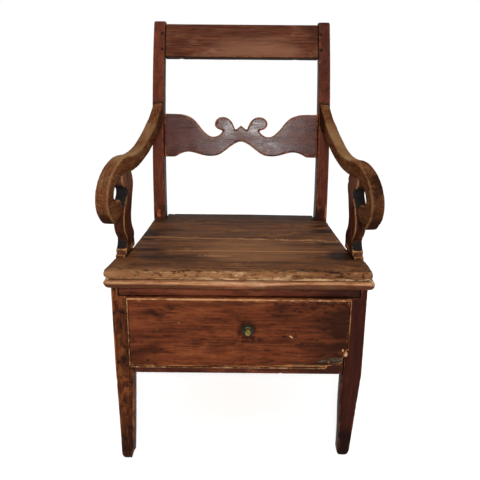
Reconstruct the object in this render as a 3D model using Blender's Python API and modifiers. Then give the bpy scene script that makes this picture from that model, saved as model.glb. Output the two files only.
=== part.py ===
"""Storage armchair: a joined wooden chair with scrolled arms, a scrolled back rail and a drawer.

Metres, +Z up. The chair faces -Y. The origin is on the floor, under the middle of the chair's bounding box.
Depths in this file are measured back from the front face of the front legs.
"""

import math

import bmesh
import bpy
from mathutils import Matrix, Vector

# Fits
GAP = 0.0003
MORTISE_CLEARANCE = 0.0004
EASE = 0.0015
OVERCUT = 0.01
TENON_ROOT = 0.010
SHOULDER = 0.004

# Overall
SEAT_TOP = 0.432
SEAT_THICKNESS = 0.0195
LEG_SPAN = 0.5126
POST_SPAN = 0.4474
POST_SET = 0.376
SPLAY = 0.054
CASE_BOTTOM = 0.2016

# Front legs
LEG_WIDTH = 0.0393
LEG_DEPTH = 0.030
FOOT_WIDTH = 0.026
FOOT_TUCK = 0.0085
FEET_LEFT = 0.0058
FEET_FORWARD = 0.0025
FEET_TWIST = 0.0080

# Back posts, one piece with the back legs
POST_WIDTH = 0.030
POST_DEPTH = 0.050
POST_DEPTH_TOP = 0.030
POST_DEPTH_FOOT = 0.036
BACK_RISE = 0.492
BACK_RADIUS = 1.11
BACK_KICK = 0.035

# Rails across the back
CREST_HEIGHT = 0.0855
CREST_THICKNESS = 0.018
CREST_DROP = 0.0435
CREST_ROUND = 0.005
RAIL_SETBACK = 0.003
RAIL_TENON_LENGTH = 0.019
RAIL_TENON_THICKNESS = 0.008
CREST_TENON_HEIGHT = 0.060
PEG_RADIUS = 0.0025
PEG_INSET = 0.0072
PEG_UP = 0.0155
PEG_DOWN = 0.026
PEG_LENGTH = 0.0225
SPLAT_RISE = 0.166
SPLAT_HEIGHT = 0.1045
SPLAT_THICKNESS = 0.018
SPLAT_TENON_HEIGHT = 0.052
SPLAT_TENON_UP = 0.052
SPLAT_TENON_ROOT = 0.0287

# Seat
NOSE = 0.014
SEAT_ROUND = 0.006
EAR_BACK = 0.0750
EAR_CORNER = 0.010
FRONT_BOARD = 0.1337
MIDDLE_BOARD = 0.0970
MIDDLE_SKEW = 0.0115
SEAT_OVERHANG_BACK = 0.006

# Arms and their supports
ARM_THICKNESS = 0.0245
ARM_SPLAY = 0.116
ARM_INSET = 0.0102
ARM_SEAT = 0.1726
SCROLL_HEIGHT = 0.086
RIGHT_SCROLL_DROP = 1.05
ARM_SWEEP = 0.0730
ARM_ROOT = 0.2934
ARM_ROOT_DEPTH = 0.058
ARM_TENON_LENGTH = 0.016
ARM_TENON_THICKNESS = 0.010
ARM_TENON_HEIGHT = 0.020
ARM_TENON_ROOT = 0.025
SUPPORT_THICKNESS = 0.020
SUPPORT_FOOT = 0.0735
SUPPORT_TAIL = 0.095
TAIL_START = 0.035
TAIL_CORNER_IN = 0.010
TAIL_CORNER_UP = 0.012
SUPPORT_TENON_THICKNESS = 0.008
SUPPORT_TENON_LENGTH = 0.014
SUPPORT_TENON_SET = 0.013
SUPPORT_TENON_WIDTH = 0.030
SCREW_HEAD_RADIUS = 0.0045
SCREW_SHANK_RADIUS = 0.002
SCREW_LENGTH = 0.030
SCREW_SPACING = 0.034
SCREW_DROP = 0.036

# Case round the drawer
TOP_RAIL_HEIGHT = 0.0375
TOP_RAIL_THICKNESS = 0.015
TOP_RAIL_LAP = 0.024
BOTTOM_RAIL_HEIGHT = 0.0264
BOTTOM_RAIL_THICKNESS = 0.020
BOTTOM_TENON_LENGTH = 0.018
BOTTOM_TENON_THICKNESS = 0.008
BOTTOM_RAIL_RECESS = 0.0005
PANEL_THICKNESS = 0.018
TONGUE_THICKNESS = 0.008
TONGUE_LENGTH = 0.008
BACK_PANEL_THICKNESS = 0.014
BACK_PANEL_SET = 0.010
BACK_TONGUE_INSET = 0.012
MOULD_HEIGHT = 0.0145
MOULD_REACH = 0.012

# Drawer
LIP_THICKNESS = 0.0099
LIP_OVERLAP = 0.0073
LIP_BELOW = 0.0075
DRAWER_TOP_GAP = 0.0012
DRAWER_BODY = 0.011
DRAWER_SIDE_GAP = 0.0010
DRAWER_BOX_SPAN = 0.396
DRAWER_BOX_DEPTH = 0.334
DRAWER_SIDE = 0.010
DRAWER_SIDE_HEIGHT = 0.1355
DRAWER_BACK = 0.010
DRAWER_BACK_INSET = 0.004
DRAWER_BACK_DROP = 0.004
DRAWER_BOTTOM = 0.006
DRAWER_BOTTOM_UP = 0.007
HOUSING_DEPTH = 0.0055
GROOVE_DEPTH = 0.0042
BEAD_WIDTH = 0.003
BEAD_TOP = 0.004
BEAD_DEPTH = 0.0035
BEAD_PROUD = 0.0015
BROKEN_SIDE = 0.046
BROKEN_BOTTOM = 0.045
BROKEN_LIP = 0.0115
GUIDE_HEIGHT = 0.020
RUNNER_WIDTH = 0.022
RUNNER_HEIGHT = 0.022
KICKER_WIDTH = 0.018
KICKER_CLEARANCE = 0.002

# Knob
KNOB_OFFSET = 0.018
KNOB_ABOVE_MIDDLE = 0.009
KNOB_RADIUS = 0.008
KNOB_NECK = 0.0036
KNOB_REACH = 0.027
KNOB_COLLAR = 0.0058
KNOB_COLLAR_DEPTH = 0.0015
KNOB_FLARE = 0.004
SHANK_RADIUS = 0.003
SHANK_SPARE = 0.002
ROSE_RADIUS = 0.013
ROSE_THICKNESS = 0.0016
ROSE_BEVEL = 0.001
NUT_RADIUS = 0.0065
NUT_THICKNESS = 0.005

# Places that follow from the sizes above
SEAT_UNDER = SEAT_TOP - SEAT_THICKNESS
CASE_TOP = SEAT_UNDER - GAP
BACK_TOP = SEAT_TOP + BACK_RISE
LEG_OUT = LEG_SPAN / 2
LEG_IN = LEG_OUT - LEG_WIDTH
POST_OUT = POST_SPAN / 2
POST_IN = POST_OUT - POST_WIDTH
TOP_RAIL_UNDER = CASE_TOP - TOP_RAIL_HEIGHT
DRAWER_FLOOR = CASE_BOTTOM + BOTTOM_RAIL_HEIGHT
LIP_OUT = LEG_IN + LIP_OVERLAP
LIP_TOP = TOP_RAIL_UNDER - DRAWER_TOP_GAP
LIP_BOTTOM = DRAWER_FLOOR - LIP_BELOW
FRONT_JOINT = FRONT_BOARD - NOSE
ARM_UNDER = SEAT_TOP + ARM_SEAT
SUPPORT_FRONT = EAR_BACK + GAP
SUPPORT_BACK = SUPPORT_FRONT + SUPPORT_FOOT
SUPPORT_MIDDLE = (SUPPORT_FRONT + SUPPORT_BACK) / 2


def sweep(z):
    """How far the back post's front face lies behind POST_SET at height z."""
    if z >= SEAT_TOP:
        rise = z - SEAT_TOP
        return BACK_RADIUS - math.sqrt(BACK_RADIUS**2 - rise**2)
    if z < CASE_BOTTOM:
        return BACK_KICK * ((CASE_BOTTOM - z) / CASE_BOTTOM) ** 2
    return 0.0


def rake(z):
    """The lean of the back post at height z, in radians."""
    return math.asin((z - SEAT_TOP) / BACK_RADIUS)


def post_front(z):
    return POST_SET + sweep(z)


def post_depth(z):
    """The back post's front to back size: deepest along the case, thinner at the top and the foot."""
    if z >= SEAT_TOP:
        return POST_DEPTH + (POST_DEPTH_TOP - POST_DEPTH) * (z - SEAT_TOP) / BACK_RISE
    if z < CASE_BOTTOM:
        return POST_DEPTH + (POST_DEPTH_FOOT - POST_DEPTH) * (CASE_BOTTOM - z) / CASE_BOTTOM
    return POST_DEPTH


def seat_edge(depth):
    """Half the seat's width behind the arm supports, which is also the side panels' outer face."""
    return POST_OUT + SPLAY * (POST_SET - depth)


REAR_REACH = post_front(BACK_TOP) + POST_DEPTH_TOP
FRONT_REACH = LIP_THICKNESS + KNOB_REACH
FRONT_FACE = -(REAR_REACH - FRONT_REACH) / 2

# How a flat outline is turned before it becomes a board
PLAN = Matrix.Identity(4)
ELEVATION = Matrix.Rotation(math.pi / 2, 4, "X")
PROFILE = Matrix(((0, 0, 1, 0), (1, 0, 0, 0), (0, 1, 0, 0), (0, 0, 0, 1)))


def clear_scene():
    for obj in list(bpy.data.objects):
        bpy.data.objects.remove(obj, do_unlink=True)


def new_collection(name):
    collection = bpy.data.collections.new(name)
    bpy.context.scene.collection.children.link(collection)
    return collection


def new_material(name, colour, roughness, metallic=0.0):
    material = bpy.data.materials.new(name)
    material.use_nodes = True
    shader = material.node_tree.nodes["Principled BSDF"]
    shader.inputs["Base Color"].default_value = (*colour, 1.0)
    shader.inputs["Roughness"].default_value = roughness
    shader.inputs["Metallic"].default_value = metallic
    return material


def new_empty(name, place, parent=None):
    empty = bpy.data.objects.new(name, None)
    empty.parent = parent
    empty.location = place
    PARTS.objects.link(empty)
    return empty


def new_part(name, mesh, frame, parent, material):
    """Adds a piece to the chair, or a cutter where no material is given."""
    obj = bpy.data.objects.new(name, mesh)
    obj.parent = parent
    obj.matrix_local = frame
    if material is None:
        CUTTERS.objects.link(obj)
        obj.hide_render = True
        obj.display_type = "WIRE"
    else:
        PARTS.objects.link(obj)
        mesh.materials.append(material)
    return obj


def block(name, low, high, material=None, frame=PLAN, parent=None, ease=EASE):
    """A rectangular piece between two corners, with eased edges. A cutter keeps sharp edges."""
    low, high = Vector(low), Vector(high)
    size = high - low
    mesh = bpy.data.meshes.new(name)
    bm = bmesh.new()
    place = Matrix.Translation((low + high) / 2) @ Matrix.Diagonal((*size, 1.0))
    bmesh.ops.create_cube(bm, size=1.0, matrix=place)
    bm.to_mesh(mesh)
    bm.free()
    obj = new_part(name, mesh, frame, parent or CHAIR, material)
    if material is not None and ease:
        bevel = obj.modifiers.new("eased_edges", "BEVEL")
        bevel.width = ease
        bevel.segments = 1
        bevel.limit_method = "NONE"
    return obj


def outline_mesh(name, knots, thickness, ease, steps):
    """A flat board from a closed outline. A knot is (x, y), a corner, or (x, y, True), a smooth point."""
    curve = bpy.data.curves.new(name, "CURVE")
    curve.dimensions = "2D"
    curve.fill_mode = "BOTH"
    curve.resolution_u = steps
    curve.extrude = thickness / 2 - ease
    curve.bevel_depth = ease
    curve.bevel_resolution = 0
    curve.offset = -ease
    spline = curve.splines.new("BEZIER")
    spline.bezier_points.add(len(knots) - 1)
    spline.use_cyclic_u = True
    for point, knot in zip(spline.bezier_points, knots):
        kind = "AUTO" if len(knot) == 3 else "VECTOR"
        point.co = (knot[0], knot[1], 0.0)
        point.handle_left_type = kind
        point.handle_right_type = kind
    guide = bpy.data.objects.new(name + "_outline", curve)
    bpy.context.scene.collection.objects.link(guide)
    bpy.context.view_layer.update()
    graph = bpy.context.evaluated_depsgraph_get()
    mesh = bpy.data.meshes.new_from_object(guide.evaluated_get(graph))
    bpy.data.objects.remove(guide, do_unlink=True)
    mesh.name = name
    mesh.materials.clear()
    bm = bmesh.new()
    bm.from_mesh(mesh)
    bmesh.ops.remove_doubles(bm, verts=bm.verts, dist=0.00001)
    bmesh.ops.recalc_face_normals(bm, faces=bm.faces)
    bm.to_mesh(mesh)
    bm.free()
    mesh.shade_flat()
    return mesh


def board(name, knots, thickness, turn, frame, material=None, parent=None, ease=EASE, steps=5):
    """A board whose outline is drawn in the turn's plane and centred on it. A cutter keeps sharp edges."""
    if material is None:
        ease = 0.0
    mesh = outline_mesh(name, knots, thickness, ease, steps)
    mesh.transform(turn)
    return new_part(name, mesh, frame, parent or CHAIR, material)


def prism(name, points, bottom, top, material=None, parent=None, ease=EASE):
    """A straight-sided piece of the given plan, between two heights."""
    frame = Matrix.Translation((0.0, 0.0, (bottom + top) / 2))
    return board(name, points, top - bottom, PLAN, frame, material, parent, ease)


def turned(name, profile, place, material=None, parent=None, sides=24, closed=False):
    """A piece turned about the Y axis. The profile lists (radius, depth), from its front end to its back."""
    mesh = bpy.data.meshes.new(name)
    bm = bmesh.new()
    verts = [bm.verts.new((radius, 0.0, -depth)) for radius, depth in profile]
    for first, second in zip(verts, verts[1:]):
        bm.edges.new((first, second))
    if closed:
        bm.edges.new((verts[-1], verts[0]))
    bm.to_mesh(mesh)
    bm.free()
    frame = Matrix.Translation(place) @ ELEVATION
    obj = new_part(name, mesh, frame, parent or CHAIR, material)
    screw = obj.modifiers.new("turned", "SCREW")
    screw.axis = "Z"
    screw.steps = sides
    screw.render_steps = sides
    screw.use_merge_vertices = True
    screw.merge_threshold = 0.0001
    return obj


def boolean(piece, other, operation):
    modifier = piece.modifiers.new(other.name, "BOOLEAN")
    modifier.operation = operation
    modifier.object = other
    modifier.solver = "EXACT"


def cut(piece, cutter):
    boolean(piece, cutter, "DIFFERENCE")


def tenon(piece, sockets, name, low, high, frame=PLAN, parent=None):
    """Gives a piece a tenon, and each of its neighbours the mortise for it."""
    boolean(piece, block(name, low, high, frame=frame, parent=parent), "UNION")
    room = Vector((MORTISE_CLEARANCE,) * 3)
    mortise = block(name + "_mortise", Vector(low) - room, Vector(high) + room, frame=frame, parent=parent)
    for socket in sockets:
        cut(socket, mortise)


def arc(centre, radius, start, end, count):
    """Corner points along an arc, in degrees."""
    angles = [math.radians(start + (end - start) * i / count) for i in range(count + 1)]
    return [(centre[0] + radius * math.cos(a), centre[1] + radius * math.sin(a)) for a in angles]


def mirrored(points):
    """The same points on the other side of the middle line, in reverse order."""
    return [(-point[0], *point[1:]) for point in reversed(points)]


def on_side(side, points):
    return [(side * point[0], *point[1:]) for point in points]


def make_front_leg(name, side):
    """A tapered leg. The old chair has racked: both feet stand to the left, one forward and one back."""
    foot_out = LEG_OUT - FOOT_TUCK - side * FEET_LEFT
    outline = [
        (foot_out - FOOT_WIDTH, 0.0),
        (foot_out, 0.0),
        (LEG_OUT, CASE_BOTTOM),
        (LEG_OUT, CASE_TOP),
        (LEG_IN, CASE_TOP),
        (LEG_IN, CASE_BOTTOM),
    ]
    frame = Matrix.Translation((0.0, LEG_DEPTH / 2, 0.0))
    leg = board(name, on_side(side, outline), LEG_DEPTH, ELEVATION, frame, DARK_WOOD, ease=0.002)
    for vertex in leg.data.vertices:
        below_case = max(0.0, 1.0 - vertex.co.z / CASE_BOTTOM)
        vertex.co.y += below_case * (side * FEET_TWIST - FEET_FORWARD)
    return leg


def post_outline(forward=0.0):
    """The back post seen from the side, with its front face moved forward for a cutter."""
    count = 12
    upper = [SEAT_TOP + BACK_RISE * i / count for i in range(count + 1)]
    lower = [CASE_BOTTOM * i / 6 for i in range(7)]
    heights = lower + upper
    front = [(post_front(z) - forward, z) for z in heights]
    back = [(post_front(z) + post_depth(z), z) for z in reversed(heights)]
    return front + back


def make_back_post(name, side):
    frame = Matrix.Translation((side * (POST_OUT - POST_WIDTH / 2), 0.0, 0.0))
    return board(name, post_outline(), POST_WIDTH, PROFILE, frame, RED_WOOD, ease=0.002)


def leaning_frame(height):
    """A frame at the back posts' front face, leaning back with them at that height."""
    place = Matrix.Translation((0.0, post_front(height), height))
    return place @ Matrix.Rotation(-rake(height), 4, "X")


def make_crest_rail(posts):
    frame = leaning_frame(BACK_TOP - CREST_DROP)
    half = POST_IN - GAP
    front = RAIL_SETBACK
    back = RAIL_SETBACK + CREST_THICKNESS
    up = CREST_HEIGHT / 2
    section = [(front, -up), (back, -up), (back, up)]
    section += arc((front + CREST_ROUND, up - CREST_ROUND), CREST_ROUND, 90, 180, 3)
    crest = board("crest_rail", section, 2 * half, PROFILE, frame, RED_WOOD)
    middle = (front + back) / 2
    reach = POST_IN + RAIL_TENON_LENGTH
    low = (-reach, middle - RAIL_TENON_THICKNESS / 2, -CREST_TENON_HEIGHT / 2)
    high = (reach, middle + RAIL_TENON_THICKNESS / 2, CREST_TENON_HEIGHT / 2)
    tenon(crest, posts, "crest_tenon", low, high, frame)
    make_crest_pegs(crest, posts, frame)
    return crest


def make_crest_pegs(crest, posts, frame):
    """Two pegs through each end of the crest rail's tenon."""
    for post, side, word in zip(posts, (-1, 1), ("left", "right")):
        for place, up in (("upper", PEG_UP), ("lower", -PEG_DOWN)):
            name = f"{word}_{place}_crest_peg"
            start = frame @ Vector((side * (POST_IN + PEG_INSET), -EASE, up))
            lean = Matrix.Translation(start) @ frame.to_3x3().to_4x4()
            profile = [(0.0, 0.0), (PEG_RADIUS, 0.0), (PEG_RADIUS, PEG_LENGTH), (0.0, PEG_LENGTH)]
            peg = turned(name, profile, (0.0, 0.0, 0.0), PEG_WOOD, sides=12)
            peg.matrix_local = lean @ ELEVATION
            wide = PEG_RADIUS + GAP
            deep = PEG_LENGTH + GAP
            bore = [(0.0, -OVERCUT), (wide, -OVERCUT), (wide, deep), (0.0, deep)]
            hole = turned(name + "_hole", bore, (0.0, 0.0, 0.0), sides=12)
            hole.matrix_local = lean @ ELEVATION
            cut(post, hole)
            cut(crest, hole)


def splat_outline():
    """The scrolled back rail: one half from the middle peak along the top and back along the bottom.

    The points fit a half span of 193.7 and a height of 104.5, and stretch with the real ones.
    """
    end = POST_IN - GAP
    top = [
        (0.0, 76.5),
        (14.5, 65.0),
        (18.6, 76.5, True),
        (27.1, 89.7, True),
        (44.5, 97.5, True),
        (61.0, 92.0, True),
        (66.8, 80.0, True),
        (61.5, 69.5, True),
        (45.0, 63.2),
        (55.1, 53.5, True),
        (69.0, 49.4, True),
        (81.5, 52.5, True),
        (97.5, 66.0, True),
        (110.8, 82.6, True),
        (124.4, 95.0, True),
        (144.7, 102.5, True),
        (158.0, 104.0),
    ]
    bottom = [
        (167.0, 0.5),
        (148.9, 9.8, True),
        (133.6, 13.0, True),
        (117.3, 10.5, True),
        (95.3, 4.5, True),
        (73.9, 2.8, True),
        (56.0, 6.3, True),
        (38.1, 18.0, True),
        (19.3, 31.8, True),
    ]
    across = POST_IN / 193.7
    up = SPLAT_HEIGHT / 104.5
    top = [(x * across, y * up, *smooth) for x, y, *smooth in top]
    bottom = [(x * across, y * up, *smooth) for x, y, *smooth in bottom]
    right = top + [(end, SPLAT_HEIGHT), (end, 0.0)] + bottom
    return right + [(0.0, 39.3 * up, True)] + mirrored(right[1:])


def make_scrolled_back_rail(posts):
    height = SEAT_TOP + SPLAT_RISE
    frame = leaning_frame(height) @ Matrix.Translation((0.0, RAIL_SETBACK + SPLAT_THICKNESS / 2, 0.0))
    rail = board("scrolled_back_rail", splat_outline(), SPLAT_THICKNESS, ELEVATION, frame, RED_WOOD, steps=4)
    reach = POST_IN + RAIL_TENON_LENGTH
    middle = SPLAT_TENON_UP
    stub_in = POST_IN - SPLAT_TENON_ROOT
    for side in (-1, 1):
        ends = sorted((side * stub_in, side * reach))
        low = (ends[0], -RAIL_TENON_THICKNESS / 2, middle - SPLAT_TENON_HEIGHT / 2)
        high = (ends[1], RAIL_TENON_THICKNESS / 2, middle + SPLAT_TENON_HEIGHT / 2)
        post = posts[0] if side < 0 else posts[1]
        tenon(rail, [post], f"back_rail_tenon_{'left' if side < 0 else 'right'}", low, high, frame)
    return rail


def side_frame(side):
    """A frame on the seat's side edge at the back post, turned to run along that edge."""
    place = Matrix.Translation((side * POST_OUT, POST_SET, 0.0))
    return place @ Matrix.Rotation(side * math.atan(SPLAY), 4, "Z")


def support_outline():
    """The arm support from the side: a tail below the seat, a foot, a cove, a swelling and a hooked top.

    The points above the seat fit a foot of 73.5 and a height of 172.3, and stretch with the real ones.
    """
    shaped = [
        (0.0, 15.5),
        (11.0, 22.5, True),
        (12.0, 32.0, True),
        (2.0, 43.5, True),
        (-10.0, 60.0, True),
        (-11.5, 80.0, True),
        (-2.0, 99.5, True),
        (16.0, 117.3, True),
        (29.0, 132.3, True),
        (23.5, 142.3),
        (8.5, 144.8, True),
        (-3.0, 155.3, True),
        (-8.0, 172.3),
        (63.0, 172.3),
        (72.0, 157.3, True),
        (75.5, 143.3, True),
        (66.0, 120.3, True),
        (55.5, 97.0, True),
        (47.5, 77.0, True),
        (50.0, 59.0, True),
        (69.0, 33.5, True),
        (72.5, 12.0, True),
        (73.5, 0.0),
    ]
    along = SUPPORT_FOOT / 73.5
    up = (ARM_SEAT - GAP) / 172.3
    front = SUPPORT_FRONT
    back = SUPPORT_BACK
    start = SEAT_TOP - TAIL_START
    end = SEAT_TOP - SUPPORT_TAIL
    outline = [(front, start)]
    outline += [(front + y * along, SEAT_TOP + z * up, *smooth) for y, z, *smooth in shaped]
    outline += [
        (back, start),
        (back - TAIL_CORNER_IN, end + TAIL_CORNER_UP, True),
        (SUPPORT_MIDDLE, end, True),
        (front + TAIL_CORNER_IN, end + TAIL_CORNER_UP, True),
    ]
    return [(y - POST_SET, *rest) for y, *rest in outline]


def make_arm_support(name, side, arm, panel):
    frame = side_frame(side) @ Matrix.Translation((side * (GAP + SUPPORT_THICKNESS / 2), 0.0, 0.0))
    support = board(name, support_outline(), SUPPORT_THICKNESS, PROFILE, frame, DARK_WOOD, steps=4)
    tenon_front = SUPPORT_FRONT + SUPPORT_TENON_SET - POST_SET
    tenon_back = tenon_front + SUPPORT_TENON_WIDTH
    low = (-SUPPORT_TENON_THICKNESS / 2, tenon_front, ARM_UNDER - TENON_ROOT)
    high = (SUPPORT_TENON_THICKNESS / 2, tenon_back, ARM_UNDER + SUPPORT_TENON_LENGTH)
    tenon(support, [arm], name + "_tenon", low, high, frame)
    make_support_screws(name, side, support, panel)
    return support


def make_support_screws(name, side, support, panel):
    """Two countersunk screws hold each support's tail to the outside of the case."""
    head = SCREW_HEAD_RADIUS
    shank = SCREW_SHANK_RADIUS
    sink = head - shank
    room = GAP
    profile = [(0.0, 0.0), (head, 0.0), (shank, sink), (shank, SCREW_LENGTH), (0.0, SCREW_LENGTH)]
    hole_profile = [
        (0.0, -OVERCUT),
        (head + room, -OVERCUT),
        (head + room, 0.0),
        (shank + room, sink + room),
        (shank + room, SCREW_LENGTH + room),
        (0.0, SCREW_LENGTH + room),
    ]
    middle = SUPPORT_MIDDLE - POST_SET
    height = SEAT_UNDER - SCREW_DROP
    for word, step in (("front", -0.5), ("back", 0.5)):
        place = (side * (GAP + SUPPORT_THICKNESS), middle + step * SCREW_SPACING, height)
        turn = Matrix.Rotation(side * math.pi / 2, 4, "Z")
        frame = side_frame(side) @ Matrix.Translation(place) @ turn @ ELEVATION
        screw = turned(f"{name}_{word}_screw", profile, (0, 0, 0), DARK_METAL, sides=12)
        screw.matrix_local = frame
        hole = turned(f"{name}_{word}_screw_hole", hole_profile, (0, 0, 0), sides=12)
        hole.matrix_local = frame
        cut(support, hole)
        cut(panel, hole)


def arm_frame(side):
    """A frame at the arm's root on the back post, turned to run along the arm."""
    place = Matrix.Translation((side * (POST_OUT - ARM_INSET), POST_SET, 0.0))
    return place @ Matrix.Rotation(side * math.atan(ARM_SPLAY), 4, "Z")


def arm_outline(drop):
    """The arm from the side: it sweeps down from the post, levels over the support and curls into a volute.

    The sweep's points fit a fall of 73, the volute's a height of 86, and both stretch with the real ones.
    """
    upper_sweep = [(54.0, 11.0), (-31.0, -42.5, True), (-106.0, -73.0, True)]
    lower_sweep = [(-99.0, -42.0, True), (-46.0, -23.5, True), (12.0, -4.2, True), (56.0, 24.0)]
    crown = [
        (145.0, 34.5, True),
        (85.0, 29.0, True),
        (20.0, 32.5, True),
        (-19.0, 26.5, True),
        (-52.8, 14.5, True),
    ]
    volute = [
        (-80.0, -5.0, True),
        (-93.5, -30.5, True),
        (-90.5, -54.5, True),
        (-78.3, -71.5, True),
        (-57.0, -86.0, True),
        (-31.0, -83.0, True),
        (-12.0, -68.5, True),
        (-15.0, -53.5, True),
        (-32.3, -44.0, True),
        (-48.5, -45.0),
        (-57.0, -33.0, True),
        (-48.0, -17.0, True),
        (-33.0, -8.0, True),
    ]
    hollow = [(110.0, 2.5, True), (152.0, 9.5, True)]
    fall = ARM_SWEEP / 73.0
    unit = SCROLL_HEIGHT / 86.0
    foot = SUPPORT_FOOT / 73.5
    front = SUPPORT_FRONT
    root = SEAT_TOP + ARM_ROOT
    low_root = root - ARM_ROOT_DEPTH
    outline = [(POST_SET + y * fall, root + z * fall, *smooth) for y, z, *smooth in upper_sweep]
    outline += [(front + y * unit, ARM_UNDER + z * unit, *smooth) for y, z, *smooth in crown]
    outline += [(front + y * unit, ARM_UNDER + drop * z * unit, *smooth) for y, z, *smooth in volute]
    outline += [(front - 10.0 * foot, ARM_UNDER), (front + 75.0 * foot, ARM_UNDER)]
    outline += [(front + y * unit, ARM_UNDER + z * unit, *smooth) for y, z, *smooth in hollow]
    outline += [(POST_SET + y * fall, low_root + z * fall, *smooth) for y, z, *smooth in lower_sweep]
    along = 1.0 / math.cos(math.atan(ARM_SPLAY))
    return [((y - POST_SET) * along, *rest) for y, *rest in outline]


def make_arm(name, side, post):
    frame = arm_frame(side)
    drop = RIGHT_SCROLL_DROP if side > 0 else 1.0
    arm = board(name, arm_outline(drop), ARM_THICKNESS, PROFILE, frame, ARM_WOOD, ease=0.002, steps=4)
    face = Matrix.Translation((side * POST_OUT, 0.0, 0.0))
    cut(arm, board(name + "_shoulder", post_outline(GAP), 3 * POST_WIDTH, PROFILE, face))
    root = SEAT_TOP + ARM_ROOT - ARM_ROOT_DEPTH / 2
    set_back = sweep(root)
    low = (-ARM_TENON_THICKNESS / 2, set_back - ARM_TENON_ROOT, root - ARM_TENON_HEIGHT / 2)
    high = (ARM_TENON_THICKNESS / 2, set_back + ARM_TENON_LENGTH, root + ARM_TENON_HEIGHT / 2)
    tenon(arm, [post], name + "_tenon", low, high, frame)
    return arm


def along_side(side, start, end, outer, inner):
    """The plan of a strip along the seat's side edge, between two depths and two insets from that edge."""
    corners = [(start, outer), (end, outer), (end, inner), (start, inner)]
    return [(side * (seat_edge(depth) - inset), depth) for depth, inset in corners]


def make_side_panel(name, side, leg, post):
    """A side panel with a tongue along each end, in a groove in the leg and another in the post."""
    front = LEG_DEPTH + GAP
    back = POST_SET - GAP
    plan = along_side(side, front, back, 0.0, PANEL_THICKNESS)
    panel = prism(name, plan, CASE_BOTTOM, CASE_TOP, DARK_WOOD, ease=0.001)
    outer = (PANEL_THICKNESS - TONGUE_THICKNESS) / 2
    inner = PANEL_THICKNESS - outer
    tip_front = front - TONGUE_LENGTH
    tip_back = back + TONGUE_LENGTH
    low = CASE_BOTTOM + SHOULDER
    high = CASE_TOP - SHOULDER
    plan = along_side(side, tip_front, tip_back, outer, inner)
    boolean(panel, prism(name + "_tongue", plan, low, high), "UNION")
    room = MORTISE_CLEARANCE
    plan = along_side(side, tip_front - room, tip_back + room, outer - room, inner + room)
    groove = prism(name + "_groove", plan, low - room, high + room)
    cut(leg, groove)
    cut(post, groove)
    return panel


def make_back_panel(posts):
    front = POST_SET + BACK_PANEL_SET
    half = POST_IN - GAP
    low = (-half, front, CASE_BOTTOM)
    high = (half, front + BACK_PANEL_THICKNESS, CASE_TOP)
    panel = block("back_panel", low, high, DARK_WOOD)
    middle = front + BACK_PANEL_THICKNESS / 2
    reach = POST_IN + TONGUE_LENGTH
    low = (-reach, middle - TONGUE_THICKNESS / 2, CASE_BOTTOM + BACK_TONGUE_INSET)
    high = (reach, middle + TONGUE_THICKNESS / 2, CASE_TOP - BACK_TONGUE_INSET)
    tenon(panel, posts, "back_panel_tongue", low, high)


def make_front_rails(legs):
    lap = LEG_IN + TOP_RAIL_LAP
    low = (-lap, 0.0, TOP_RAIL_UNDER)
    high = (lap, TOP_RAIL_THICKNESS, CASE_TOP)
    top = block("front_top_rail", low, high, RED_WOOD, ease=0.001)
    room = MORTISE_CLEARANCE
    low = (-lap - room, -OVERCUT, TOP_RAIL_UNDER - room)
    high = (lap + room, TOP_RAIL_THICKNESS + room, CASE_TOP + OVERCUT)
    notch = block("top_rail_lap", low, high)
    for leg in legs:
        cut(leg, notch)
    half = LEG_IN - GAP
    low = (-half, BOTTOM_RAIL_RECESS, CASE_BOTTOM)
    high = (half, BOTTOM_RAIL_RECESS + BOTTOM_RAIL_THICKNESS, DRAWER_FLOOR)
    bottom = block("front_bottom_rail", low, high, RED_WOOD)
    middle = BOTTOM_RAIL_RECESS + BOTTOM_RAIL_THICKNESS / 2
    reach = LEG_IN + BOTTOM_TENON_LENGTH
    low = (-reach, middle - BOTTOM_TENON_THICKNESS / 2, CASE_BOTTOM + SHOULDER)
    high = (reach, middle + BOTTOM_TENON_THICKNESS / 2, DRAWER_FLOOR - SHOULDER)
    tenon(bottom, legs, "bottom_rail_tenon", low, high)
    return top, bottom


def seat_rear_joint(across):
    """The depth of the joint between the middle and the rear board, which runs a little askew."""
    return FRONT_JOINT + MIDDLE_BOARD - MIDDLE_SKEW * across / POST_OUT


def round_outer_edges(board_object, is_outer, weight_inner):
    """Rounds the edges that a hand meets, and only eases those at the joints between boards."""
    mesh = board_object.data
    weights = mesh.attributes.new("bevel_weight_edge", "FLOAT", "EDGE")
    for edge in mesh.edges:
        first, second = (mesh.vertices[i].co for i in edge.vertices)
        if abs(first.z - second.z) > SEAT_THICKNESS / 2:
            continue
        weights.data[edge.index].value = 1.0 if is_outer(first, second) else weight_inner
    bevel = board_object.modifiers.new("rounded_edges", "BEVEL")
    bevel.width = SEAT_ROUND
    bevel.segments = 3
    bevel.limit_method = "WEIGHT"
    bevel.use_clamp_overlap = False


def seat_board(name, plan):
    frame = Matrix.Translation((0.0, 0.0, SEAT_TOP - SEAT_THICKNESS / 2))
    mesh = outline_mesh(name, plan, SEAT_THICKNESS, 0.0, 4)
    bm = bmesh.new()
    bm.from_mesh(mesh)
    bmesh.ops.dissolve_limit(bm, angle_limit=math.radians(1), verts=[], edges=bm.edges)
    bm.to_mesh(mesh)
    bm.free()
    return new_part(name, mesh, frame, CHAIR, SEAT_WOOD)


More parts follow.
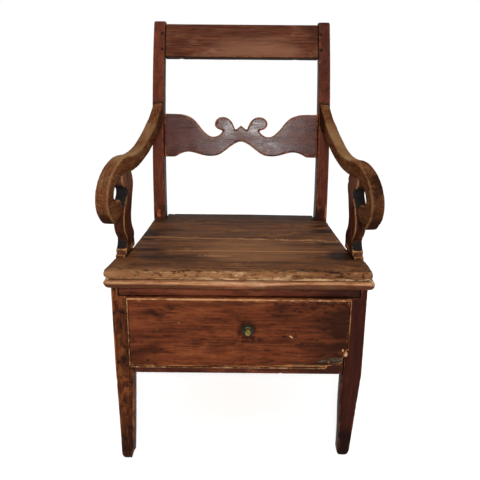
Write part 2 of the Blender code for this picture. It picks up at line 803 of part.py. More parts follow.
def make_seat():
    """Three boards. The front one has an ear before each arm support, the rear one fits round the posts."""
    ear = GAP + SUPPORT_THICKNESS + GAP
    corner = seat_edge(-NOSE) + ear
    half = arc((corner - EAR_CORNER, EAR_CORNER - NOSE), EAR_CORNER, -90, 0, 4)
    half += [(seat_edge(EAR_BACK) + ear, EAR_BACK), (seat_edge(EAR_BACK), EAR_BACK)]
    half += [(seat_edge(FRONT_JOINT), FRONT_JOINT - GAP / 2)]
    front = seat_board("seat_front_board", half + mirrored(half))
    joint = FRONT_JOINT - 2 * GAP
    round_outer_edges(front, lambda a, b: min(a.y, b.y) < joint, 0.2)

    right = seat_rear_joint(POST_OUT)
    left = seat_rear_joint(-POST_OUT)
    plan = [(seat_edge(FRONT_JOINT), FRONT_JOINT + GAP / 2), (seat_edge(right), right - GAP)]
    plan += [(-seat_edge(left), left - GAP), (-seat_edge(FRONT_JOINT), FRONT_JOINT + GAP / 2)]
    middle = seat_board("seat_middle_board", plan)
    round_outer_edges(middle, lambda a, b: a.x * b.x > 0, 0.2)

    face = POST_SET - GAP
    back = POST_SET + POST_DEPTH + SEAT_OVERHANG_BACK
    inner = POST_IN - GAP
    plan = [(seat_edge(right), right + GAP), (seat_edge(face), face), (inner, face), (inner, back)]
    plan += [(-inner, back), (-inner, face), (-seat_edge(face), face), (-seat_edge(left), left + GAP)]
    rear = seat_board("seat_rear_board", plan)
    round_outer_edges(rear, lambda a, b: min(a.x * b.x, min(abs(a.x), abs(b.x)) - POST_IN) > 0, 0.3)


def half_round(count=6):
    """A moulding's section: a flat back at 0 and a half-round face at the moulding's reach."""
    points = arc((0.0, 0.0), 1.0, -90, 90, count)
    return [(x * MOULD_REACH, y * MOULD_HEIGHT / 2) for x, y in points]


def make_moulding(name, length, frame, mitres):
    """A half-round strip along X with its flat back on the local XZ plane and mitred where asked."""
    mesh = outline_mesh(name, half_round(), length, 0.0, 1)
    turn = Matrix(((0, 0, -1, 0), (-1, 0, 0, 0), (0, 1, 0, 0), (0, 0, 0, 1)))
    mesh.transform(turn)
    for vertex in mesh.vertices:
        end = 1 if vertex.co.x > 0 else -1
        if end in mitres:
            vertex.co.x -= end * vertex.co.y
    return new_part(name, mesh, frame, CHAIR, SEAT_WOOD)


def make_seat_mouldings():
    height = CASE_TOP - MOULD_HEIGHT / 2
    place = Matrix.Translation((0.0, -GAP, height))
    make_moulding("front_moulding", 2 * (LEG_OUT + GAP), place, (-1, 1))
    for side, word in ((-1, "left"), (1, "right")):
        middle = LEG_DEPTH / 2
        place = Matrix.Translation((side * (LEG_OUT + GAP), middle, height))
        turn = Matrix.Rotation(side * math.pi / 2, 4, "Z")
        make_moulding(f"{word}_moulding_return", LEG_DEPTH, place @ turn, (-side,))


def make_drawer_slides():
    """On each side: a runner under the drawer, a tapered guide beside it and a kicker above it."""
    box = DRAWER_BOX_SPAN / 2
    front = BOTTOM_RAIL_RECESS + BOTTOM_RAIL_THICKNESS + GAP
    behind_leg = LEG_DEPTH + GAP
    back = POST_SET - GAP
    outer_front = seat_edge(behind_leg) - PANEL_THICKNESS - GAP
    outer_back = seat_edge(back) - PANEL_THICKNESS - GAP
    for side, word in ((-1, "left"), (1, "right")):
        inner = box - RUNNER_WIDTH
        plan = [(inner, front), (LEG_IN - GAP, front), (LEG_IN - GAP, behind_leg)]
        plan += [(outer_front, behind_leg), (outer_back, back), (inner, back)]
        top = DRAWER_FLOOR
        prism(f"{word}_drawer_runner", on_side(side, plan), top - RUNNER_HEIGHT, top, PALE_WOOD, ease=0.001)
        inner = box + DRAWER_SIDE_GAP
        plan = [(inner, behind_leg), (outer_front, behind_leg), (outer_back, back), (inner, back)]
        low = DRAWER_FLOOR + GAP
        prism(f"{word}_drawer_guide", on_side(side, plan), low, low + GUIDE_HEIGHT, PALE_WOOD, ease=0.001)
        inner = box - KICKER_WIDTH
        plan = [(inner, behind_leg), (outer_front, behind_leg), (outer_back, back), (inner, back)]
        low = DRAWER_FLOOR + GAP + DRAWER_SIDE_HEIGHT + KICKER_CLEARANCE
        prism(f"{word}_kicker", on_side(side, plan), low, CASE_TOP, PALE_WOOD, ease=0.001)


def make_drawer_front():
    low = (-LIP_OUT, -LIP_THICKNESS, LIP_BOTTOM)
    high = (LIP_OUT, DRAWER_BODY, LIP_TOP)
    front = block("drawer_front", low, high, RED_WOOD, parent=DRAWER, ease=0.0008)
    body = LEG_IN - DRAWER_SIDE_GAP
    behind = DRAWER_BODY + OVERCUT
    for side in (-1, 1):
        ends = sorted((side * body, side * (LIP_OUT + OVERCUT)))
        low = (ends[0], -GAP, LIP_BOTTOM - OVERCUT)
        high = (ends[1], behind, LIP_TOP + OVERCUT)
        cut(front, block(f"lip_rebate_{'left' if side < 0 else 'right'}", low, high, parent=DRAWER))
    low = (-LIP_OUT - OVERCUT, -GAP, LIP_BOTTOM - OVERCUT)
    high = (LIP_OUT + OVERCUT, behind, DRAWER_FLOOR + GAP)
    cut(front, block("lip_rebate_bottom", low, high, parent=DRAWER))
    corner = [
        (LIP_OUT + OVERCUT, LIP_BOTTOM + BROKEN_SIDE),
        (LIP_OUT - 0.35 * BROKEN_LIP, LIP_BOTTOM + 0.90 * BROKEN_SIDE),
        (LIP_OUT - 0.85 * BROKEN_LIP, LIP_BOTTOM + 0.62 * BROKEN_SIDE),
        (LIP_OUT - BROKEN_LIP, LIP_BOTTOM + 0.26 * BROKEN_SIDE),
        (LIP_OUT - 0.50 * BROKEN_BOTTOM, LIP_BOTTOM + 0.16 * BROKEN_SIDE),
        (LIP_OUT - 0.92 * BROKEN_BOTTOM, LIP_BOTTOM + 0.11 * BROKEN_SIDE),
        (LIP_OUT - BROKEN_BOTTOM, LIP_BOTTOM - OVERCUT),
        (LIP_OUT + OVERCUT, LIP_BOTTOM - OVERCUT),
    ]
    deep = LIP_THICKNESS + OVERCUT - GAP
    frame = Matrix.Translation((0.0, -deep / 2 - GAP, 0.0))
    cut(front, board("broken_corner", corner, deep, ELEVATION, frame, parent=DRAWER))
    return front


def make_beads(front):
    """Thin strips let into the edges of the drawer front. Two of them end at the broken corner."""
    face = -LIP_THICKNESS
    seat = face + BEAD_DEPTH
    proud = face - BEAD_PROUD
    top_low = LIP_TOP - BEAD_TOP
    bottom_high = LIP_BOTTOM + BEAD_WIDTH
    side_in = LIP_OUT - BEAD_WIDTH
    broken_up = LIP_BOTTOM + BROKEN_SIDE
    broken_in = LIP_OUT - BROKEN_BOTTOM
    strips = {
        "top": ((-LIP_OUT, top_low), (LIP_OUT, LIP_TOP)),
        "left": ((-LIP_OUT, bottom_high), (-side_in, top_low)),
        "right": ((side_in, broken_up), (LIP_OUT, top_low)),
        "bottom": ((-LIP_OUT, LIP_BOTTOM), (broken_in, bottom_high)),
    }
    for word, ((x0, z0), (x1, z1)) in strips.items():
        low = (x0 - GAP, face - OVERCUT, z0 - GAP)
        high = (x1 + GAP, seat, z1 + GAP)
        cut(front, block(f"{word}_bead_rebate", low, high, parent=DRAWER))
        trim = GAP / 2
        low = (x0 + trim, proud, z0 + trim)
        high = (x1 - trim, seat - GAP, z1 - trim)
        block(f"drawer_{word}_bead", low, high, BEAD_WOOD, parent=DRAWER, ease=0.0008)


def make_drawer_box(front):
    outer = DRAWER_BOX_SPAN / 2
    inner = outer - DRAWER_SIDE
    floor = DRAWER_FLOOR + GAP
    top = floor + DRAWER_SIDE_HEIGHT
    start = DRAWER_BODY - HOUSING_DEPTH + GAP
    end = DRAWER_BODY + DRAWER_BOX_DEPTH
    back_face = end - DRAWER_BACK - DRAWER_BACK_INSET
    groove_low = floor + DRAWER_BOTTOM_UP
    groove_high = groove_low + DRAWER_BOTTOM
    reach = inner + GROOVE_DEPTH - GAP
    panel_front = DRAWER_BODY - GROOVE_DEPTH + GAP
    room = GAP
    low = (-reach - room, panel_front - room, groove_low - room)
    high = (reach + room, end + OVERCUT, groove_high + room)
    groove = block("drawer_bottom_groove", low, high, parent=DRAWER)
    back_reach = inner + GROOVE_DEPTH - GAP
    low = (-back_reach - room, back_face - room, groove_high + room)
    high = (back_reach + room, back_face + DRAWER_BACK + room, top + OVERCUT)
    dado = block("drawer_back_dado", low, high, parent=DRAWER)
    for side, word in ((-1, "left"), (1, "right")):
        ends = sorted((side * inner, side * outer))
        low = (ends[0], start, floor)
        high = (ends[1], end, top)
        piece = block(f"drawer_{word}_side", low, high, PALE_WOOD, parent=DRAWER, ease=0.0008)
        cut(piece, groove)
        cut(piece, dado)
        low = (ends[0] - room, start - room, floor - OVERCUT)
        high = (ends[1] + room, DRAWER_BODY + OVERCUT, top + room)
        cut(front, block(f"drawer_{word}_housing", low, high, parent=DRAWER))
    cut(front, groove)
    low = (-reach, panel_front, groove_low)
    high = (reach, end, groove_high)
    block("drawer_bottom", low, high, PALE_WOOD, parent=DRAWER, ease=0.0008)
    low = (-back_reach, back_face, groove_high + 2 * room)
    high = (back_reach, back_face + DRAWER_BACK, top - DRAWER_BACK_DROP)
    block("drawer_back", low, high, PALE_WOOD, parent=DRAWER, ease=0.0008)


def make_knob(front):
    """A brass ball knob on a thin rose, with its shank through the drawer front and a nut behind."""
    place = (KNOB_OFFSET, -LIP_THICKNESS, (LIP_TOP + LIP_BOTTOM) / 2 + KNOB_ABOVE_MIDDLE)
    ball = -KNOB_REACH + KNOB_RADIUS
    neck_angle = math.asin(KNOB_NECK / KNOB_RADIUS)
    count = 10
    profile = []
    for i in range(count + 1):
        angle = (math.pi - neck_angle) * i / count
        profile.append((KNOB_RADIUS * math.sin(angle), ball - KNOB_RADIUS * math.cos(angle)))
    seat = -ROSE_THICKNESS - GAP
    nut_start = LIP_THICKNESS + DRAWER_BODY + GAP
    tip = nut_start + NUT_THICKNESS + SHANK_SPARE
    profile += [(KNOB_NECK, seat - KNOB_FLARE), (KNOB_COLLAR, seat - KNOB_COLLAR_DEPTH), (KNOB_COLLAR, seat)]
    profile += [(SHANK_RADIUS, seat), (SHANK_RADIUS, tip), (0.0, tip)]
    profile[0] = (0.0, profile[0][1])
    turned("drawer_knob", profile, place, BRASS, DRAWER, sides=20)
    bore = SHANK_RADIUS + GAP
    rim = -ROSE_THICKNESS
    rose = [(bore, rim), (ROSE_RADIUS - ROSE_BEVEL, rim), (ROSE_RADIUS, -GAP), (bore, -GAP)]
    turned("knob_rose", rose, place, BRASS, DRAWER, sides=28, closed=True)
    end = nut_start + NUT_THICKNESS
    thread = bore / math.cos(math.pi / 6)
    nut = [(thread, nut_start), (NUT_RADIUS, nut_start), (NUT_RADIUS, end), (thread, end)]
    turned("knob_nut", nut, place, BRASS, DRAWER, sides=6, closed=True)
    through = LIP_THICKNESS + DRAWER_BODY + OVERCUT
    hole = [(0.0, -OVERCUT), (bore, -OVERCUT), (bore, through), (0.0, through)]
    cut(front, turned("knob_hole", hole, place, parent=DRAWER, sides=20))


def make_drawer():
    front = make_drawer_front()
    make_beads(front)
    make_drawer_box(front)
    make_knob(front)


def make_chair():
    legs = [make_front_leg("left_front_leg", -1), make_front_leg("right_front_leg", 1)]
    posts = [make_back_post("left_back_post", -1), make_back_post("right_back_post", 1)]
    make_crest_rail(posts)
    make_scrolled_back_rail(posts)
    make_front_rails(legs)
    make_back_panel(posts)
    for side, word, leg, post in zip((-1, 1), ("left", "right"), legs, posts):
        panel = make_side_panel(f"{word}_side_panel", side, leg, post)
        arm = make_arm(f"{word}_arm", side, post)
        make_arm_support(f"{word}_arm_support", side, arm, panel)
    make_drawer_slides()
    make_seat()
    make_seat_mouldings()


clear_scene()
PARTS = new_collection("storage_armchair")
CUTTERS = new_collection("cutters")
RED_WOOD = new_material("red_brown_wood", (0.105, 0.030, 0.014), 0.45)
DARK_WOOD = new_material("dark_brown_wood", (0.085, 0.028, 0.014), 0.5)
ARM_WOOD = new_material("golden_brown_wood", (0.190, 0.085, 0.032), 0.4)
SEAT_WOOD = new_material("seat_wood", (0.120, 0.055, 0.024), 0.5)
BEAD_WOOD = new_material("bead_wood", (0.260, 0.110, 0.040), 0.5)
PALE_WOOD = new_material("pale_inner_wood", (0.330, 0.200, 0.095), 0.7)
PEG_WOOD = new_material("peg_wood", (0.035, 0.014, 0.009), 0.6)
BRASS = new_material("old_brass", (0.160, 0.120, 0.035), 0.4, 1.0)
DARK_METAL = new_material("dark_iron", (0.050, 0.045, 0.042), 0.5, 1.0)
CHAIR = new_empty("chair_front", (0.0, FRONT_FACE, 0.0))
DRAWER = new_empty("drawer_slide", (0.0, 0.0, 0.0), CHAIR)
make_chair()
make_drawer()
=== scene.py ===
"""The looks of the storage armchair: worn stained wood, an old brass knob, studio light and a camera.

Each wooden piece that shows is a worn copy of its CAD solid. Its edges are rounded and nicked, and every
point carries how worn, grimy, toned, raw or greyed the wood is there, which the materials read. Grime,
tone and grey also carry painted shade and light, and the seat's worn edge some painted light.
Lengths are in metres. X runs to the viewer's right, Y away from the viewer and Z up.
"""

import math
import zlib

import bmesh
import bpy
import numpy as np
from mathutils import Matrix, Vector
from mathutils.bvhtree import BVHTree
from mathutils.kdtree import KDTree


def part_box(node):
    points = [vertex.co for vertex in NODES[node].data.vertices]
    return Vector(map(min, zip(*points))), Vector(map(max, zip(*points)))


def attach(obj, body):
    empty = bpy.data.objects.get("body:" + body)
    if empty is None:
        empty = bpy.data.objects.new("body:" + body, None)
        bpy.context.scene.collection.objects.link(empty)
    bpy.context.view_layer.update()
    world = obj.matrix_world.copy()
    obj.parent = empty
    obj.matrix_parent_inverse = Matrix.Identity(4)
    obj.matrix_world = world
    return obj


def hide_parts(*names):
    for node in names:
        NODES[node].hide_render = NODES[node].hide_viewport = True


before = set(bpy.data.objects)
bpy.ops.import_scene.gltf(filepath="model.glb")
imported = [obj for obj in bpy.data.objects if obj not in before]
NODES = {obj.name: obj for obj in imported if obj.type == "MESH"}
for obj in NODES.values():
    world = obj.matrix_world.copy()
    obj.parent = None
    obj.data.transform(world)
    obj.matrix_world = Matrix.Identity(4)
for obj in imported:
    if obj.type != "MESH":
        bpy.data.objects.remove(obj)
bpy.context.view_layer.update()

# Places and sizes on the chair
ABOVE_SEAT = 0.43             # a height just under the seat's top: what lies above it shows
BETWEEN_POSTS = 0.1936        # half the width that shows between the back posts
BELOW_RAIL = 0.201            # a height just under the bottom rail
BLOCK_TOP = (0.4445, 0.448)   # heights between which the block at a support's foot ends
SEAT_FRONT = -0.2565          # front of the seat's round edge
NOSE_RADIUS = 0.00975         # radius of that edge
NOSE_HEIGHT = 0.42225         # height of its middle
FRONT_JOINT = -0.122          # the joint between the front and the middle board
JOINT_SKEW = 0.052            # how far askew the rear board's joint runs, per metre of width
BEAD_INSIDE = 0.2214          # half the width between the drawer's side beads
SPLINTER_PLACE = (0.2184, -0.2478, 0.2530)

FIELDS = ("wear", "dirt_and_shade", "tone", "raw", "grey")  # what each point of a worn copy carries
GRAIN_AXES = {"x": (0, 1, 2), "y": (1, 0, 2), "z": (2, 0, 1)}


def rgb(red, green, blue):
    """A colour as written for a screen, 0 to 255, turned into the linear values that shaders take."""
    def linear(c):
        c = c / 255
        return c / 12.92 if c <= 0.04045 else ((c + 0.055) / 1.055) ** 2.4
    return (linear(red), linear(green), linear(blue), 1.0)


# Repeatable noise and masks

def lattice(i, j, k, seed):
    """A repeatable random number from -1 to 1 for each corner of a cubic grid."""
    h = (i * 0x8DA6B343 ^ j * 0xD8163841 ^ k * 0xCB1AB31F ^ seed * 0x9E3779B1) & 0xFFFFFFFF
    h = ((h ^ (h >> 15)) * 0x2C1B3C6D) & 0xFFFFFFFF
    h = ((h ^ (h >> 12)) * 0x297A2D39) & 0xFFFFFFFF
    return ((h ^ (h >> 15)) & 0xFFFFFF) / 0x7FFFFF - 1.0


def noise(points, scale, seed=0):
    """Smooth noise from -1 to 1. The scale is bumps per metre, one number or one for each axis."""
    p = points * scale
    base = np.floor(p).astype(np.int64)
    part = p - base
    part = part * part * (3 - 2 * part)
    total = np.zeros(len(points))
    for corner in range(8):
        step = np.array([corner & 1, corner >> 1 & 1, corner >> 2 & 1])
        weight = np.prod(np.where(step, part, 1 - part), axis=1)
        total += weight * lattice(*(base + step).T, seed)
    return total


def fractal(points, scale, seed=0, octaves=3):
    """Noise with finer and weaker noise on top."""
    scale = np.asarray(scale, float)
    total = sum(noise(points, scale * 2**i, seed + i) / 2**i for i in range(octaves))
    return total / sum(1 / 2**i for i in range(octaves))


def step_up(value, low, high):
    """A smooth step from 0 at low to 1 at high."""
    t = np.clip((value - low) / (high - low), 0, 1)
    return t * t * (3 - 2 * t)


def spot(points, centre, radii):
    """1 at the centre, falling to 0 at the edge of an ellipsoid."""
    d = np.linalg.norm((points - np.array(centre)) / np.array(radii), axis=1)
    return 1 - step_up(d, 0.3, 1.0)


def stroke(points, start, end, width):
    """1 along a line on the front, falling to 0 at its width. Only x and z count."""
    p = points[:, (0, 2)]
    a, b = np.array(start), np.array(end)
    along = np.clip((p - a) @ (b - a) / ((b - a) @ (b - a)), 0, 1)
    d = np.linalg.norm(p - a - along[:, None] * (b - a), axis=1)
    return 1 - step_up(d / width, 0.3, 1.0)


# Worn copies of CAD solids

def arrays(mesh):
    """The points and the edges of a mesh."""
    co = np.empty(len(mesh.vertices) * 3)
    mesh.vertices.foreach_get("co", co)
    edges = np.empty(len(mesh.edges) * 2, np.int64)
    mesh.edges.foreach_get("vertices", edges)
    return co.reshape(-1, 3), edges.reshape(-1, 2)


def normals_of(mesh):
    n = np.empty(len(mesh.vertices) * 3, np.float32)
    mesh.vertex_normals.foreach_get("vector", n)
    return n.reshape(-1, 3).astype(float)


def set_points(mesh, co):
    mesh.vertices.foreach_set("co", co.astype(np.float32).ravel())
    mesh.update()


def store(mesh, name, values, kind="FLOAT"):
    """Keeps a value for each point, which a material can read."""
    layer = mesh.attributes.new(name, kind, "POINT")
    key = "value" if kind == "FLOAT" else "vector"
    layer.data.foreach_set(key, np.asarray(values, np.float32).ravel())


def degrees_of(edges, count):
    """How many edges meet at each point."""
    return np.maximum(np.bincount(edges.ravel(), minlength=count), 1)


def neighbour_mean(values, edges, degree):
    out = np.empty_like(values)
    for axis in range(values.shape[1]):
        column = values[:, axis]
        total = np.bincount(edges[:, 0], column[edges[:, 1]], len(values))
        total += np.bincount(edges[:, 1], column[edges[:, 0]], len(values))
        out[:, axis] = total / degree
    return out


def smoothed(values, edges, steps):
    """Moves each value halfway to the mean of its neighbours, and again for each step."""
    degree = degrees_of(edges, len(values))
    for _ in range(steps):
        values = values + 0.5 * (neighbour_mean(values, edges, degree) - values)
    return values


def soften(co, edges, mask, steps):
    """Rounds the surface where the mask is 1."""
    degree = degrees_of(edges, len(co))
    for _ in range(steps):
        co = co + 0.5 * mask[:, None] * (neighbour_mean(co, edges, degree) - co)
    return co


def modified(mesh, kind, **settings):
    """The mesh after one modifier."""
    obj = bpy.data.objects.new("work", mesh)
    bpy.context.scene.collection.objects.link(obj)
    modifier = obj.modifiers.new("work", kind)
    for key, value in settings.items():
        setattr(modifier, key, value)
    bpy.context.view_layer.update()
    graph = bpy.context.evaluated_depsgraph_get()
    result = bpy.data.meshes.new_from_object(obj.evaluated_get(graph))
    bpy.data.objects.remove(obj)
    return result


def remeshed(node, voxel):
    """An even mesh of a CAD solid, with its own sharp corners a little cut."""
    mesh = NODES[node].data.copy()
    bm = bmesh.new()
    bm.from_mesh(mesh)
    bmesh.ops.remove_doubles(bm, verts=bm.verts, dist=0.00001)
    bm.to_mesh(mesh)
    bm.free()
    return modified(mesh, "REMESH", mode="VOXEL", voxel_size=voxel)


def closeness(points, node, reach):
    """How close each point is to another piece: 1 where they touch, 0 at the reach."""
    low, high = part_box(node)
    verts, faces = [], []
    for other, obj in NODES.items():
        if other == node:
            continue
        a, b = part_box(other)
        if any(a[i] > high[i] + reach or b[i] < low[i] - reach for i in range(3)):
            continue
        start = len(verts)
        verts += [v.co for v in obj.data.vertices]
        faces += [[start + i for i in p.vertices] for p in obj.data.polygons]
    out = np.zeros(len(points))
    if not verts:
        return out
    tree = BVHTree.FromPolygons(verts, faces)
    for i, p in enumerate(points):
        distance = tree.find_nearest(Vector(p), reach)[3]
        if distance is not None:
            out[i] = 1 - distance / reach
    return out


def worn(node, body, material, voxel=0.0022, rounding=4, keep=0.45, grain="x", wave=0.00025, nicks=0,
         wear=1.0, thin=False, grime_and_shade=1.0, reach=0.004, tone=None, rub=None, raw=None, grey=None, shape=None):
    """A worn copy of a CAD solid that stands for it.

    Keep is the share of faces left at the end, most of them where it curves. Nicks is how many dents its
    edges have, and thin edges are worn along a narrow line. Shape may move the points. Tone gives where the
    wood is darker (below 0) or lighter, painted light and shade among it, rub where it is worn away from the
    edges (or less, below 0) and where the seat's lip gets painted light, raw where it is bare, grey where it
    turns dark grey: weathered on the drawer front, painted shade on the other pieces. Grime and shade is how
    strong the dirt and the painted shade are in hollows and near other pieces.
    """
    seed = zlib.crc32(node.encode()) % 100000
    mesh = remeshed(node, voxel)
    co, edges = arrays(mesh)
    co = smoothed(co, edges, rounding)
    set_points(mesh, co)
    normal = normals_of(mesh)
    sharp = np.einsum("ij,ij->i", co - smoothed(co, edges, 5), normal) / voxel
    bulge = np.einsum("ij,ij->i", co - smoothed(co, edges, 14), normal) / voxel
    co += normal * (wave * fractal(co, 22, seed))[:, None]
    edge = step_up(sharp / np.percentile(sharp, 98.5), 0.3, 0.85)
    ridge = 2.0 * smoothed(edge[:, None], edges, 7)[:, 0]
    edge = np.clip(ridge, 0, 1)
    rng = np.random.default_rng(seed)
    candidates = np.flatnonzero(edge > 0.5)
    for index in rng.choice(candidates, min(nicks, len(candidates)), replace=False):
        size = rng.uniform(0.003, 0.009)
        depth = rng.uniform(0.0004, 0.0014)
        d = np.linalg.norm((co - co[index]) / size, axis=1)
        co -= normal * (depth * (1 - step_up(d, 0.0, 1.0)))[:, None]
    if shape is not None:
        co = shape(co, normal, edges)
    set_points(mesh, co)
    normal = normals_of(mesh)

    def field(function):
        return np.zeros(len(co)) if function is None else function(co, normal)
    touch = closeness(co, node, reach)
    hollow = step_up(-bulge, 0.08, 0.5)
    line = step_up(ridge, 0.85, 1.35) if thin else edge
    rubbed = wear * line * (0.85 + 0.35 * fractal(co, 30, seed + 7)) * (1 - 0.8 * step_up(touch, 0.35, 0.9))
    # Dirt and painted shade where another piece is near and in hollows
    dirt_and_shade = grime_and_shade * (0.8 * touch**1.5 + 0.7 * hollow)
    fields = np.column_stack([
        np.clip(rubbed + field(rub), 0, 1),
        np.clip(dirt_and_shade, 0, 1),
        np.clip(field(tone), -1, 1),
        np.clip(field(raw), 0, 1),
        np.clip(field(grey), 0, 1),
    ])
    final = modified(mesh, "DECIMATE", ratio=keep)
    points, _ = arrays(final)
    tree = KDTree(len(co))
    for i, p in enumerate(co):
        tree.insert(p, i)
    tree.balance()
    fields = fields[[tree.find(p)[1] for p in points]]
    for name, values in zip(FIELDS, fields.T):
        store(final, name, values)
    offset = rng.uniform(-1, 1, 3)
    store(final, "grain", points[:, GRAIN_AXES[grain]] + offset, "FLOAT_VECTOR")
    final.materials.clear()
    final.materials.append(material)
    final.shade_smooth()
    final.name = node + "_worn"
    piece = bpy.data.objects.new(node + "_worn", final)
    bpy.context.scene.collection.objects.link(piece)
    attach(piece, body)
    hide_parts(node)


# Materials

def add(tree, kind, inputs=(), **settings):
    """A new shader node. An input is another node's output or a value."""
    made = tree.nodes.new("ShaderNode" + kind)
    for key, value in settings.items():
        setattr(made, key, value)
    for key, value in dict(inputs).items():
        if isinstance(value, bpy.types.NodeSocket):
            tree.links.new(value, made.inputs[key])
        else:
            made.inputs[key].default_value = value
    return made


def mix(tree, share, first, second):
    made = add(tree, "Mix", {0: share, 6: first, 7: second}, data_type="RGBA", blend_type="MIX")
    return made.outputs[2]


def band(tree, value, low, high, to_low=0.0, to_high=1.0):
    """A smooth step from to_low at low to to_high at high."""
    inputs = {"Value": value, "From Min": low, "From Max": high, "To Min": to_low, "To Max": to_high}
    return add(tree, "MapRange", inputs, interpolation_type="SMOOTHSTEP").outputs["Result"]


def calc(tree, operation, *values):
    return add(tree, "Math", dict(enumerate(values)), operation=operation).outputs[0]


def grain_noise(tree, place, scale, detail=4.0, rough=0.55, distortion=0.0):
    """Noise with its own number of bumps per metre along and across the grain."""
    spread = add(tree, "Mapping", {"Vector": place, "Scale": scale}).outputs[0]
    inputs = {"Vector": spread, "Scale": 1.0, "Detail": detail, "Roughness": rough, "Distortion": distortion}
    return add(tree, "TexNoise", inputs).outputs[0]


def attribute(tree, name, output="Fac"):
    return add(tree, "Attribute", attribute_name=name).outputs[output]


def grain_place(tree, cad_axis):
    """Where each point lies in the grain. A CAD node is turned from its grain's axis."""
    if cad_axis is None:
        return attribute(tree, "grain", "Vector")
    turn = {"x": (0, 0, 0), "y": (0, 0, math.pi / 2), "z": (0, math.pi / 2, 0)}[cad_axis]
    object_place = add(tree, "TexCoord").outputs["Object"]
    return add(tree, "Mapping", {"Vector": object_place, "Rotation": turn}).outputs[0]


def darker(colour, share):
    return rgb(*(share * c for c in colour))


def wood(name, dark, mid, light, worn_colour, dirt_and_shade=(24, 15, 12), raw=(196, 156, 104), grey=(48, 45, 45),
         streak=1.0, blotch=1.0, fibre=1.0, fray=0.2, specks=0.0, scratch=0.0, rough=0.5, speckle=0.0,
         relief=0.35, level=0.05, cad_axis=None):
    """Stained old wood. A worn copy carries its own grain and wear, a CAD node is given its grain's axis.

    Streak, blotch, fibre, specks and scratch say how strong these marks are, fray how ragged the worn edges
    are, and speckle how much the surface is dotted with small bumps.
    """
    material = bpy.data.materials.new(name)
    material.use_nodes = True
    tree = material.node_tree
    shader = tree.nodes["Principled BSDF"]
    place = grain_place(tree, cad_axis)
    broad = grain_noise(tree, place, (4.0, 62.0, 62.0), 5.0, 0.6, 0.5)
    streaks = grain_noise(tree, place, (9.0, 190.0, 190.0), 4.0, 0.6, 0.3)
    fibres = grain_noise(tree, place, (30.0, 430.0, 430.0), 3.0, 0.6)
    blotches = grain_noise(tree, place, (16.0, 30.0, 30.0), 5.0, 0.62, 0.6)
    patches = grain_noise(tree, place, (62.0, 120.0, 120.0), 5.0, 0.68, 0.7)
    warp = add(tree, "Mapping", {"Vector": place, "Scale": (1.6, 30.0, 30.0)}).outputs[0]
    wave_inputs = {"Vector": warp, "Scale": 1.0, "Distortion": 7.0, "Detail": 3.0, "Detail Scale": 0.7}
    rings = add(tree, "TexWave", wave_inputs, wave_type="BANDS", bands_direction="Y").outputs["Fac"]

    # The stain
    colour = mix(tree, band(tree, broad, 0.36, 0.62, 0.5 - 0.5 * streak, 1.0), rgb(*dark), rgb(*mid))
    colour = mix(tree, band(tree, blotches, 0.50, 0.70, 0.0, 0.7 * blotch), colour, rgb(*light))
    colour = mix(tree, band(tree, blotches, 0.46, 0.30, 0.0, 0.7 * blotch), colour, rgb(*dark))
    colour = mix(tree, band(tree, streaks, 0.52, 0.68, 0.0, 0.6 * streak), colour, rgb(*light))
    colour = mix(tree, band(tree, streaks, 0.47, 0.33, 0.0, 0.75 * streak), colour, rgb(*dark))
    colour = mix(tree, band(tree, patches, 0.53, 0.70, 0.0, 0.65 * blotch), colour, rgb(*dark))
    colour = mix(tree, band(tree, rings, 0.66, 0.95, 0.0, 0.45 * streak), colour, rgb(*dark))
    pores = band(tree, fibres, 0.56, 0.68, 0.0, 0.65 * fibre)
    colour = mix(tree, pores, colour, darker(dark, 0.6))
    if scratch:
        lines = grain_noise(tree, place, (20.0, 360.0, 360.0), 2.0, 0.5)
        colour = mix(tree, band(tree, lines, 0.55, 0.64, 0.0, scratch), colour, darker(dark, 0.8))
        colour = mix(tree, band(tree, lines, 0.45, 0.36, 0.0, 0.5 * scratch), colour, rgb(*light))
    if specks:
        pits = add(tree, "TexVoronoi", {"Vector": place, "Scale": 75.0})
        pit = calc(tree, "MULTIPLY", band(tree, pits.outputs["Distance"], 0.17, 0.07),
                   band(tree, pits.outputs["Color"], 0.52, 0.56, 0.0, specks))
        colour = mix(tree, pit, colour, rgb(*dirt_and_shade))
    roughness = band(tree, blotches, 0.3, 0.7, rough - 0.07, rough + 0.09)

    # What each point of a worn copy carries
    if cad_axis is None:
        # Tone: the wood's own lighter and darker patches, and painted light and shade
        tone = attribute(tree, "tone")
        colour = mix(tree, band(tree, tone, 0.0, 1.0, 0.0, 0.85), colour, rgb(*light))
        colour = mix(tree, band(tree, tone, 0.0, -1.0, 0.0, 0.9), colour, darker(dark, 0.55))
        # Grey: weathered wood on the drawer front, painted shade on the other pieces
        old = calc(tree, "MULTIPLY", attribute(tree, "grey"), band(tree, streaks, 0.3, 0.6, 0.75, 1.0))
        colour = mix(tree, band(tree, old, 0.05, 0.95, 0.0, 0.95), colour, rgb(*grey))
        ragged = calc(tree, "ADD", attribute(tree, "wear"), band(tree, patches, 0.3, 0.7, -1.2 * fray, fray))
        colour = mix(tree, band(tree, ragged, 0.18, 0.75, 0.0, 0.9), colour, rgb(*worn_colour))
        bare_fibre = mix(tree, band(tree, fibres, 0.35, 0.65), darker(raw, 0.72), rgb(*raw))
        colour = mix(tree, band(tree, attribute(tree, "raw"), 0.35, 0.6), colour, bare_fibre)
        # Dirt and painted shade in hollows and where pieces touch
        grime_and_shade = attribute(tree, "dirt_and_shade")
        caked_dirt_and_shade = calc(tree, "MULTIPLY", grime_and_shade, band(tree, patches, 0.25, 0.6, 0.75, 1.1))
        colour = mix(tree, band(tree, caked_dirt_and_shade, 0.10, 0.85, 0.0, 0.94), colour, rgb(*dirt_and_shade))
        roughness = calc(tree, "ADD", roughness, band(tree, grime_and_shade, 0.2, 0.9, 0.0, 0.3))
    tree.links.new(colour, shader.inputs["Base Color"])
    tree.links.new(roughness, shader.inputs["Roughness"])
    shader.inputs["Specular IOR Level"].default_value = level

